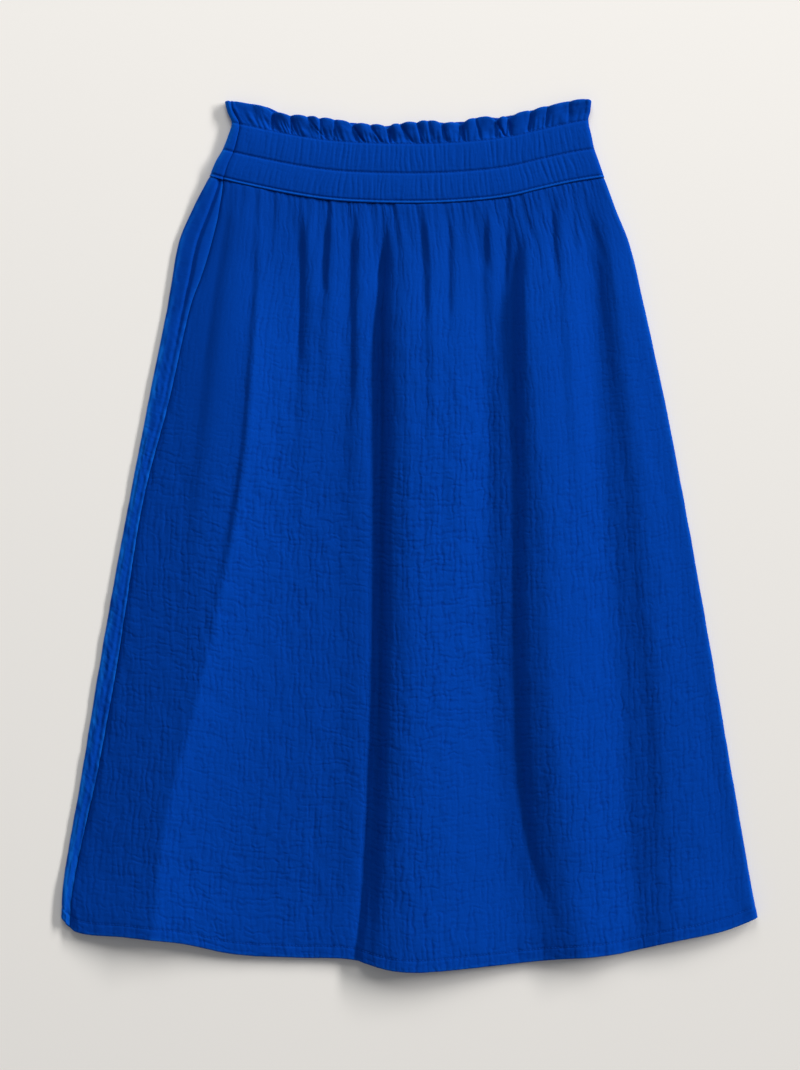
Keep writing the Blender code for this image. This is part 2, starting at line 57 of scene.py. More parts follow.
def through(at, keys, values):
    # a smooth curve through a table's rows, the same one that the solids use
    at, keys, values = np.asarray(at, float), np.asarray(keys), np.asarray(values)
    i = np.clip(np.searchsorted(keys, at, side="right") - 1, 0, len(keys) - 2)
    low, high = np.maximum(i - 1, 0), np.minimum(i + 2, len(keys) - 1)
    span = keys[i + 1] - keys[i]
    slopeA = (values[i + 1] - values[low]) / (keys[i + 1] - keys[low])
    slopeB = (values[high] - values[i]) / (keys[high] - keys[i])
    s = np.clip((at - keys[i]) / span, 0.0, 1.0)
    ends = values[i] * (1 + 2 * s) * (1 - s) ** 2 + values[i + 1] * s * s * (3 - 2 * s)
    return ends + span * (slopeA * s * (1 - s) ** 2 - slopeB * s * s * (1 - s))


def noise(a, b, seed):
    # smooth random hills, about -1 to 1, one to a unit of a and b
    size = 256
    grid = np.random.default_rng(seed).uniform(-1.0, 1.0, (size, size))
    a, b = np.broadcast_arrays(a, b)
    ia, ib = np.floor(a).astype(int), np.floor(b).astype(int)
    fa, fb = a - ia, b - ib

    def weights(f):
        return (
            -0.5 * f + f * f - 0.5 * f**3,
            1 - 2.5 * f * f + 1.5 * f**3,
            0.5 * f + 2 * f * f - 1.5 * f**3,
            -0.5 * f * f + 0.5 * f**3,
        )

    total = 0.0
    for m, wa in enumerate(weights(fa)):
        for n, wb in enumerate(weights(fb)):
            total = total + wa * wb * grid[(ia + m - 1) % size, (ib + n - 1) % size]
    return total


def hills(u, v, size, seed):
    # random hills of a given height, width and length
    tall, wide, depthAndPaintedShade = size
    return tall * noise(u / wide, v / depthAndPaintedShade, seed)


def bell(away, width):
    # 1 on a line, falling away on both sides of it
    return np.exp(-((away / width) ** 2))


def lengthAlong(line):
    # how far along a line of points each one lies
    steps = np.linalg.norm(np.diff(line, axis=0), axis=1)
    return np.concatenate([[0.0], np.cumsum(steps)])


# the laid skirt's form, in metres, as the solids have it

form = {
    "lowerChannel": 0.028,
    "upperChannel": 0.027,
    "header": 0.020,
    "seamGap": 0.0003,
    "roll": 0.004,               # how far a side fold bulges out
    "wall": 0.0014,
    "hemWall": 0.0022,
    "hemDepth": 0.012,
    "rightSeam": 0.016,          # how far the front wraps under on the right
    "bandSeam": (0.0128, 0.0056),  # the band's side seam in from its left fold, at foot and top
    "bandHeight": 0.0064,        # heights of the upper surface above the floor
    "headerRise": 0.0036,
    "seamHeight": 0.0062,
    "panelHeight": 0.0040,
    "leftEdge": 0.0034,
    "rightLift": 0.0012,
    "edgeSpan": 0.020,
    "settle": 0.30,              # share of the way down where the panel has settled
    "seamEase": 0.07,            # share of the way down where the left edge has sunk
    "hemEase": 6.0,              # the panels thicken to the hem over this many hem depths
    "hemLift": 0.0014,           # right of fold B the hem stands up a little
    "hemLiftX": (0.040, 0.090),
    "hemLiftFrom": 0.88,
    "foldColumns": 9,            # columns of points round each side fold
    "floorSide": 0.0002,         # height of what is wrapped under, out of sight
}
form["middleStitch"] = form["lowerChannel"]
form["headerStitch"] = form["lowerChannel"] + form["upperChannel"]
form["bandTall"] = form["headerStitch"] + form["header"]

sides = np.array((  # share of the way down a panel, left fold, right fold
    (0.000, -0.1836, 0.1794),
    (0.045, -0.1996, 0.1904),
    (0.090, -0.2120, 0.2024),
    (0.170, -0.2217, 0.2153),
    (0.333, -0.2438, 0.2392),
    (0.575, -0.2750, 0.2696),
    (0.818, -0.3027, 0.2980),
    (0.950, -0.3180, 0.3135),
    (1.000, -0.3200, 0.3200),
))
bandSides = np.array((  # share of the way up the waistband, left fold, right fold
    (0.00, -0.1836, 0.1794),
    (0.20, -0.1780, 0.1745),
    (0.37, -0.1716, 0.1702),
    (0.55, -0.1668, 0.1672),
    (0.73, -0.1633, 0.1647),
    (0.86, -0.1670, 0.1665),
    (1.00, -0.1693, 0.1674),
))
waistSeam = np.array((
    (-0.1840, 0.3302),
    (-0.1580, 0.3232),
    (-0.1000, 0.3114),
    (-0.0580, 0.3063),
    (0.0100, 0.3046),
    (0.0600, 0.3070),
    (0.0930, 0.3112),
    (0.1200, 0.3175),
    (0.1500, 0.3240),
    (0.1800, 0.3288),
))
hemEdge = np.array((
    (-0.3200, -0.3520),
    (-0.3060, -0.3642),
    (-0.2600, -0.3682),
    (-0.2100, -0.3740),
    (-0.1600, -0.3845),
    (-0.1000, -0.3878),
    (-0.0550, -0.3892),
    (-0.0180, -0.3982),
    (0.0120, -0.4000),
    (0.0700, -0.3955),
    (0.1400, -0.3885),
    (0.1900, -0.3840),
    (0.2400, -0.3730),
    (0.2900, -0.3625),
    (0.3200, -0.3510),
))
headerTop = np.array((
    (-0.1695, 0.3988),
    (-0.1640, 0.3992),
    (-0.1465, 0.3966),
    (-0.1310, 0.3944),
    (-0.1160, 0.3878),
    (-0.1000, 0.3860),
    (-0.0730, 0.3832),
    (-0.0560, 0.3806),
    (-0.0360, 0.3780),
    (-0.0190, 0.3776),
    (0.0010, 0.3798),
    (0.0190, 0.3810),
    (0.0375, 0.3798),
    (0.0707, 0.3848),
    (0.0854, 0.3850),
    (0.1075, 0.3902),
    (0.1295, 0.3948),
    (0.1480, 0.3990),
    (0.1590, 0.4001),
    (0.1674, 0.3996),
))
sideSeam = np.array((  # share of the way down, distance in from the left fold
    (0.000, 0.0130),
    (0.020, 0.0185),
    (0.050, 0.0250),
    (0.085, 0.0285),
    (0.120, 0.0265),
    (0.165, 0.0205),
    (0.300, 0.0175),
    (0.420, 0.0120),
    (0.560, 0.0138),
    (0.640, 0.0150),
    (0.780, 0.0132),
    (0.885, 0.0100),
    (1.000, 0.0080),
))
notches = np.array((  # between the header's ruffle waves: x, cut into the free edge, depth
    (-0.1600, 0.0000, 0.0006),
    (-0.1250, 0.0030, 0.0040),
    (-0.1085, 0.0014, 0.0026),
    (-0.0930, 0.0006, 0.0018),
    (-0.0820, 0.0012, 0.0026),
    (-0.0682, 0.0008, 0.0020),
    (-0.0515, 0.0028, 0.0042),
    (-0.0350, 0.0008, 0.0028),
    (-0.0195, 0.0030, 0.0042),
    (-0.0075, 0.0010, 0.0024),
    (0.0072, 0.0010, 0.0026),
    (0.0175, 0.0004, 0.0018),
    (0.0302, 0.0018, 0.0030),
    (0.0477, 0.0034, 0.0044),
    (0.0610, 0.0004, 0.0016),
    (0.0799, 0.0034, 0.0044),
    (0.0909, 0.0026, 0.0040),
    (0.1121, 0.0014, 0.0038),
    (0.1268, 0.0005, 0.0014),
    (0.1470, 0.0004, 0.0012),
    (0.1620, 0.0000, 0.0004),
))

# the largest folds of the front: the x of the left foot, the crest and the right foot at six
# stations down the panel, the crest's height, the share of the way down where it is full, and
# how soon each side rises from its foot (1 at once, 2 slowly), how sharp the crest is on its
# two sides and how a sharp side bends, and the share of the height that is lost at the hem
stations = np.array((0.00, 0.15, 0.40, 0.65, 0.85, 1.00))
ridges = (
    {
        "left": (-0.1700, -0.1930, -0.2380, -0.2690, -0.2955, -0.3100),
        "crest": (-0.1370, -0.1400, -0.1555, -0.1900, -0.2240, -0.2350),
        "right": (-0.0900, -0.0750, -0.0720, -0.0900, -0.1080, -0.1000),
        "height": 0.0124, "full": 0.28, "leftRise": 1.0, "rightRise": 2.0, "sharp": (0.85, 1.00),
        "flank": (1.0, 2.6), "loss": 0.12,
    },
    {
        "left": (-0.0175, -0.0255, -0.0265, -0.0290, -0.0365, -0.0470),
        "crest": (0.0030, -0.0030, 0.0020, 0.0000, -0.0040, 0.0020),
        "right": (0.0835, 0.0810, 0.0740, 0.0780, 0.0900, 0.1040),
        "height": 0.0125, "full": 0.20, "leftRise": 0.42, "rightRise": 1.5, "sharp": (0.05, 0.25),
        "flank": (1.35, 1.35), "loss": 0.12,
    },
    {
        "left": (0.0835, 0.0810, 0.0690, 0.0745, 0.0910, 0.1155),
        "crest": (0.1150, 0.1080, 0.1230, 0.1300, 0.1430, 0.1600),
        "right": (0.1665, 0.1735, 0.1865, 0.1985, 0.2030, 0.2125),
        "height": 0.0118, "full": 0.16, "leftRise": 2.0, "rightRise": 1.5, "sharp": (0.20, 0.20),
        "flank": (1.35, 1.35), "loss": 0.38,
    },
    {
        "left": (0.1600, 0.1680, 0.1700, 0.1865, 0.1960, 0.1985),
        "crest": (0.1780, 0.1900, 0.2110, 0.2290, 0.2390, 0.2460),
        "right": (0.1900, 0.2220, 0.2520, 0.2850, 0.3100, 0.3280),
        "height": 0.0052, "full": 0.16, "leftRise": 2.0, "rightRise": 1.6, "sharp": (0.20, 0.20),
        "flank": (1.35, 1.35), "loss": 0.10,
    },
)

# smaller folds that hang from the gathers: the crest's x at the stations, its left and right
# widths, its height, and where it is full and where it starts to die away
folds = (
    (-0.026, -0.034, -0.0345, -0.0375, -0.0450, -0.055, 0.034, 0.008, 0.0022, 0.45, 0.80),
    (0.042, 0.045, 0.046, 0.046, 0.048, 0.050, 0.020, 0.034, 0.0020, 0.12, 0.30),
    (-0.096, -0.088, -0.100, -0.104, -0.106, -0.108, 0.014, 0.026, 0.0023, 0.05, 0.16),
    (-0.070, -0.072, -0.078, -0.084, -0.088, -0.090, 0.012, 0.022, 0.0024, 0.04, 0.10),
    (-0.046, -0.046, -0.050, -0.056, -0.060, -0.062, 0.014, 0.022, 0.0024, 0.05, 0.18),
    (0.018, 0.022, 0.026, 0.030, 0.034, 0.036, 0.010, 0.020, 0.0018, 0.05, 0.14),
    (0.074, 0.078, 0.084, 0.092, 0.100, 0.104, 0.012, 0.020, 0.0022, 0.05, 0.16),
    (0.140, 0.146, 0.158, 0.170, 0.182, 0.190, 0.012, 0.022, 0.0016, 0.05, 0.20),
    (-0.152, -0.168, -0.190, -0.212, -0.236, -0.262, 0.014, 0.026, 0.0016, 0.05, 0.30),
)
foldAtWaist = 0.08    # share of a fold's height right at the waist seam
foldFade = 0.30       # share of the way down over which a small fold dies away
ridgeLossFrom = 0.70  # where a large fold starts to lose height

# sharp lines beside the folds: x at the stations, depth, how far the groove reaches to the
# left, how steep its right wall is, and the shares of the way down where it starts and ends
creases = (
    (-0.1410, -0.1455, -0.1610, -0.1985, -0.2430, -0.2620, 0.0018, 0.012, 0.0045, 0.05, 0.58),
    (-0.0190, -0.0258, -0.0262, -0.0275, -0.0325, -0.0390, 0.0031, 0.006, 0.0050, 0.03, 1.10),
    (0.1020, 0.0960, 0.0965, 0.0985, 0.1090, 0.1440, 0.0029, 0.008, 0.0060, 0.04, 1.02),
    (0.1620, 0.1745, 0.1960, 0.2130, 0.2210, 0.2000, 0.0008, 0.011, 0.0065, 0.03, 0.96),
    (-0.1000, -0.1010, -0.1100, -0.1190, -0.1270, -0.1330, 0.0018, 0.006, 0.0030, 0.00, 0.26),
    (-0.0760, -0.0790, -0.0820, -0.0860, -0.0890, -0.0900, 0.0018, 0.006, 0.0026, 0.00, 0.14),
    (-0.0520, -0.0530, -0.0560, -0.0600, -0.0640, -0.0660, 0.0016, 0.006, 0.0030, 0.00, 0.30),
    (0.0110, 0.0150, 0.0200, 0.0230, 0.0260, 0.0280, 0.0016, 0.006, 0.0028, 0.00, 0.17),
    (0.0370, 0.0370, 0.0350, 0.0340, 0.0330, 0.0330, 0.0015, 0.006, 0.0026, 0.00, 0.17),
    (0.0690, 0.0700, 0.0720, 0.0740, 0.0760, 0.0780, 0.0016, 0.006, 0.0028, 0.00, 0.10),
    (0.1300, 0.1340, 0.1400, 0.1500, 0.1600, 0.1700, 0.0018, 0.006, 0.0028, 0.00, 0.12),
    (0.1480, 0.1560, 0.1680, 0.1800, 0.1900, 0.2000, 0.0014, 0.006, 0.0028, 0.00, 0.10),
    (0.0900, 0.0880, 0.0900, 0.0920, 0.0940, 0.0960, 0.0018, 0.006, 0.0026, 0.00, 0.13),
    (-0.0250, -0.0300, -0.0340, -0.0380, -0.0420, -0.0450, 0.0018, 0.006, 0.0026, 0.00, 0.12),
    (-0.1600, -0.1800, -0.2040, -0.2300, -0.2500, -0.2700, 0.0004, 0.008, 0.0030, 0.00, 0.28),
)


def waistLine(x):
    return through(x, waistSeam[:, 0], waistSeam[:, 1])


def hemLine(x):
    return through(x, hemEdge[:, 0], hemEdge[:, 1])


def crestLine(x):
    return through(x, headerTop[:, 0], headerTop[:, 1])


def sidesOf(table, share):
    return through(share, table[:, 0], table[:, 1]), through(share, table[:, 0], table[:, 2])


def seamX(down):
    return sidesOf(sides, down)[0] + through(down, sideSeam[:, 0], sideSeam[:, 1])


def panelY(x, down):
    left, right = sidesOf(sides, down)
    share = (x - left) / (right - left)
    topLeft, topRight = sidesOf(sides, 0.0)
    footLeft, footRight = sidesOf(sides, 1.0)
    atWaist = waistLine(topLeft + (topRight - topLeft) * share) - form["seamGap"] / 2
    atHem = hemLine(footLeft + (footRight - footLeft) * share)
    return atWaist + (atHem - atWaist) * down


panelLength = float(waistLine(0.0) - hemLine(0.0))
hemShare = form["hemDepth"] / panelLength


def foldHeight(x, down):
    total = 0.0
    for ridge in ridges:
        left, crest, right = (through(down, stations, ridge[k]) for k in ("left", "crest", "right"))
        foot = np.where(x < crest, left, right)
        power = np.where(x < crest, ridge["leftRise"], ridge["rightRise"])
        up = np.clip((x - foot) / (crest - foot), 0.0, 1.0)
        along = foldAtWaist + (1 - foldAtWaist) * rise(down, 0.0, ridge["full"])
        along = along * (1.0 - ridge["loss"] * rise(down, ridgeLossFrom, 1.0))
        sharp = np.where(x < crest, *ridge["sharp"])
        straight = up ** np.where(x < crest, *ridge["flank"])
        across = (1 - sharp) * np.sin(np.pi / 2 * up) ** power + sharp * straight
        total = total + ridge["height"] * across * along
    for fold in folds:
        crest = through(down, stations, fold[:6])
        left, right, height, full, fade = fold[6:]
        flank = np.where(x < crest, left, right)
        across = 0.5 + 0.5 * np.cos(np.pi * np.minimum(np.abs(x - crest) / flank, 1.0))
        along = foldAtWaist + (1 - foldAtWaist) * rise(down, 0.0, full)
        along = along * (1.0 - rise(down, fade, fade + foldFade))
        total = total + height * across * along
    return total


creaseLine = {
    "stray": 0.0010,       # how far a line wavers sideways, and how often on the way down
    "strays": 9.0,
    "uneven": 0.30,        # how much its depth varies, and how often
    "varies": 7.0,
    "fadeFrom": 0.72,      # share of its length where it starts to fade
    "shadeDepth": 0.0062,   # a line of this depth gets the full painted shade
    "shadeWidth": 0.0027,
    "shadeAside": 0.0004,
}


def creasesAt(x, down):
    # a soft way down from the left and a short steep wall on the right, wavering a little: how
    # deep the cloth sinks, and how strong the painted shade along the line is
    total, shade = 0.0, 0.0
    for number, crease in enumerate(creases):
        depth, soft, steep, start, end = crease[6:]
        line = through(down, stations, crease[:6])
        line = line + creaseLine["stray"] * noise(down * creaseLine["strays"], number + 0.5, 60)
        away = x - line
        shape = np.where(away < 0, np.exp(away / soft), bell(away, steep))
        along = rise(down, start - 0.001, start + 0.06)
        along = along * (1.0 - rise(down, end * creaseLine["fadeFrom"], end))
        uneven = creaseLine["uneven"] * noise(down * creaseLine["varies"], number + 0.5, 61)
        along = along * (1.0 + uneven)
        total = total + depth * shape * along
        paintedShade = bell(away - creaseLine["shadeAside"], creaseLine["shadeWidth"])
        shade = shade + depth / creaseLine["shadeDepth"] * paintedShade * along
    return total, np.clip(shade, 0.0, 1.0)


def topHeight(x, down):
    left, right = sidesOf(sides, down)
    grown = rise(down, 0.0, form["settle"])
    height = form["seamHeight"] + (form["panelHeight"] - form["seamHeight"]) * grown
    low = rise(down, 0.0, form["seamEase"]) * (1.0 - rise(x, left, left + form["edgeSpan"]))
    height = height + (form["leftEdge"] - height) * low
    height = height + form["rightLift"] * grown * rise(x, right - form["edgeSpan"], right)
    hem = rise(down, 1.0 - form["hemEase"] * hemShare, 1.0 - hemShare)
    height = height + 2 * (form["hemWall"] - form["wall"]) * hem
    lift = rise(x, *form["hemLiftX"]) * rise(down, form["hemLiftFrom"], 1.0 - hemShare)
    return height + form["hemLift"] * lift + foldHeight(x, down)


# the cloth as a sheet of points

def normalsOf(points, rowsGoUp=False):
    # outward unit normals of a grid of points, rows by columns
    along = np.gradient(points, axis=0)
    across = np.gradient(points, axis=1)
    normals = np.cross(across, along) if rowsGoUp else np.cross(along, across)
    return normals / np.maximum(np.linalg.norm(normals, axis=2, keepdims=True), 1e-12)


rollRows = 4  # rows of points round a rolled edge


def turnUnder(points, normals, radius, back):
    # the last row rolls round its folded edge and runs back inside over the last few rows
    edge, normal = points[-1], normals[-1]
    ahead = points[-1] - points[-2]
    ahead = ahead / np.linalg.norm(ahead, axis=1, keepdims=True)
    rows = []
    for step in range(1, rollRows + 1):
        angle = math.pi * step / rollRows
        forward, under = radius * math.sin(angle), radius * (1 - math.cos(angle))
        rows.append(edge + ahead * forward - normal * under)
    for row in back:
        rows.append(points[row] - normals[row] * 2 * radius)
    return np.concatenate([points, np.array(rows)], axis=0)


def stretched(back, *fields):
    # the same rows for the fields that go with the points, such as the cloth's own place
    full = np.broadcast_arrays(*fields)
    return [np.concatenate([f, np.repeat(f[-1:], rollRows, axis=0), f[list(back)]]) for f in full]


def clothMesh(name, points, across, along, crease, rib, paintedHighlightMask, depthAndPaintedShade, material, rowsGoUp=False):
    # a sheet of quads with its place on the flat cloth, in metres, as its UV map, and beside it
    # the strength of its creases and ribs, its painted highlight and its painted shade
    rows, columns = points.shape[:2]
    mesh = bpy.data.meshes.new(name)
    index = np.arange(rows * columns).reshape(rows, columns)
    quads = np.stack([index[:-1, :-1], index[1:, :-1], index[1:, 1:], index[:-1, 1:]], axis=-1)
    quads = quads.reshape(-1, 4)
    if rowsGoUp:
        quads = quads[:, ::-1]
    mesh.vertices.add(rows * columns)
    mesh.vertices.foreach_set("co", points.reshape(-1).astype(np.float32))
    mesh.loops.add(quads.size)
    mesh.loops.foreach_set("vertex_index", quads.reshape(-1).astype(np.int32))
    mesh.polygons.add(len(quads))
    mesh.polygons.foreach_set("loop_start", np.arange(0, quads.size, 4, dtype=np.int32))
    mesh.update(calc_edges=True)
    layer = mesh.uv_layers.new(name="cloth")
    place = np.stack(np.broadcast_arrays(across, along), axis=-1).reshape(-1, 2)
    layer.data.foreach_set("uv", place[quads.reshape(-1)].reshape(-1).astype(np.float32))
    for label, field in (("crease", crease), ("rib", rib), ("paintedHighlightMask", paintedHighlightMask), ("depthAndPaintedShade", depthAndPaintedShade)):
        strength = mesh.attributes.new(label, "FLOAT", "POINT")
        strength.data.foreach_set("value", np.ravel(field).astype(np.float32))
    mesh.shade_smooth()
    mesh.materials.append(material)
    piece = bpy.data.objects.new(name, mesh)
    bpy.context.scene.collection.objects.link(piece)
    return piece


# double gauze: two thin layers tacked together, which shrink into cells, ribs and short creases

gauze = {
    "creaseSpacing": 0.0072,
    "ribSpacing": 0.0082,
    "creaseDepth": 0.00014,
    "ribDepth": 0.00023,
    "puff": 0.00020,
    "ribsAtWaist": 1.12,
    "creasesAtWaist": 0.30,
    # each row: how much or how far, and over what width and length of cloth
    "creasePatches": (0.40, 0.060, 0.080),
    "ribPatches": (0.45, 0.045, 0.110),
    "creaseStray": ((0.0042, 0.021, 0.017), (0.0017, 0.008, 0.010)),
    "creaseShift": (0.8, 0.070, 0.012),
    "creaseGaps": (1.0, 0.017, 0.0075),
    "ribStray": (0.0016, 0.012, 0.024),
    "ribShift": (0.7, 0.011, 0.050),
    "ribGaps": (1.0, 0.010, 0.030),
    "puffs": ((1.0, 0.0062, 0.0100), (0.6, 0.013, 0.016)),
    # beside the left hip the cloth lies stretched, and on fold B it crumples more
    "hip": {"x": -0.178, "width": 0.034, "ends": (0.24, 0.44), "calm": 0.80},
    "foldB": {"x": 0.024, "width": 0.036, "more": 0.28},
}


def calmHip(x, down):
    hip = gauze["hip"]
    return bell(x - hip["x"], hip["width"]) * (1.0 - rise(down, *hip["ends"]))


def shares(x, y, down):
    # how strong the short creases and the ribs are: ribs near the waist, creases lower down,
    # both patchy, and hardly any where the cloth lies stretched
    low = rise(down, 0.05, 0.40)
    calm = 1.0 - gauze["hip"]["calm"] * calmHip(x, down)
    crumpled = bell(x - gauze["foldB"]["x"], gauze["foldB"]["width"])
    calm = calm * (1.0 + gauze["foldB"]["more"] * crumpled)
    patchy = calm * (0.90 + hills(x, y, gauze["creasePatches"], 51))
    ribbed = calm * (0.95 + hills(x, y, gauze["ribPatches"], 52))
    crease = (gauze["creasesAtWaist"] + (1 - gauze["creasesAtWaist"]) * low) * patchy
    rib = (gauze["ribsAtWaist"] + (1 - gauze["ribsAtWaist"]) * low) * ribbed
    return np.clip(crease, 0.05, 2.0), np.clip(rib, 0.05, 2.0)


def crinkle(u, v, crease, rib, seed):
    # how far the cloth stands off its form, from its place across and down the flat cloth
    far, near = gauze["creaseStray"]
    bent = v + hills(u, v, far, seed) + hills(u, v, near, seed + 1)
    phase = bent / gauze["creaseSpacing"] + hills(u, v, gauze["creaseShift"], seed + 2)
    lines = (0.5 + 0.5 * np.cos(2 * np.pi * phase)) ** 2
    broken = rise(hills(u, bent, gauze["creaseGaps"], seed + 3), -0.45, 0.45)
    swayed = u + hills(u, v, gauze["ribStray"], seed + 4)
    ribPhase = swayed / gauze["ribSpacing"] + hills(u, v, gauze["ribShift"], seed + 5)
    ribs = (0.5 + 0.5 * np.cos(2 * np.pi * ribPhase)) ** 1.5
    ribbed = rise(hills(u, v, gauze["ribGaps"], seed + 6), -0.5, 0.6)
    small, large = gauze["puffs"]
    puffs = hills(u, v, small, seed + 7) + hills(u, v, large, seed + 8)
    return (
        gauze["puff"] * puffs * 0.5 * (crease + rib)
        - gauze["creaseDepth"] * crease * lines * broken
        - gauze["ribDepth"] * rib * ribs * ribbed
    )


# materials

def wire(tree, made, links):
    # what feeds each input of a node: another node's socket, or a value
    for name, source in links:
        if isinstance(source, bpy.types.NodeSocket):
            tree.links.new(source, made.inputs[name])
        else:
            made.inputs[name].default_value = source


def node(tree, kind, place, links=(), **settings):
    # one node, its settings and what feeds it; a name that is a socket is that input's value
    made = tree.nodes.new(kind)
    made.location = place
    for name, value in settings.items():
        socket = made.inputs.get(name.replace("_", " ").title())
        if hasattr(made, name):
            setattr(made, name, value)
        elif socket is not None:
            socket.default_value = value
        else:
            raise KeyError(name)
    wire(tree, made, links)
    return made


def newMaterial(name):
    material = bpy.data.materials.new(name)
    material.use_nodes = True
    tree = material.node_tree
    tree.nodes.clear()
    shader = node(tree, "ShaderNodeBsdfPrincipled", (850, 0))
    node(tree, "ShaderNodeOutputMaterial", (1150, 0), [(0, shader.outputs[0])])
    return material, tree, shader


def waveScale(mm):
    # a wave texture of scale 1 repeats after 314.16 mm
    return 314.16 / mm


cloth = {
    "colour": "#013896",
    # painted shade in the crinkle's furrows
    "paintedShade": "#01287A",
    "fibreToneAndPaintedHighlight": "#0140A4",
    "paintedHighlight": "#0F6CD6",  # painted highlight on folded edges and seams, where raised fibres catch the light
    "depthAndPaintedShade": "#001650",   # painted shade down in a pressed crease, beside a row of stitching and on the gathered cloth below the waist
    "paintedShadeStrength": 0.34,
    "roughness": 0.92,
    "specular": 0.02,
    "sheen": 0.16,
    "sheenTint": "#34A6FF",
    "sheenRoughness": 0.35,
    "threadMm": 1.15,    # yarns are 0.45 mm apart, drawn coarser so that they show
    "fuzzMm": 1.6,
    "wanderMm": 17.0,    # the furrows stray within patches of this size, by so much
    "wander": (0.007, 0.011, 0.0),
    "creases": {
        "direction": "Y", "mm": 6.0, "patchMm": (15.0, 7.0), "sharp": 1.4,
        "strength": "crease", "share": 0.38,
    },
    "ribs": {
        "direction": "X", "mm": 5.6, "patchMm": (7.0, 26.0), "sharp": 1.3,
        "strength": "rib", "share": 0.42,
    },
    "furrowDepth": 0.00055,
    "furrowBump": 0.8,
    "threadDepth": 0.0003,
    "threadBump": 0.20,
}


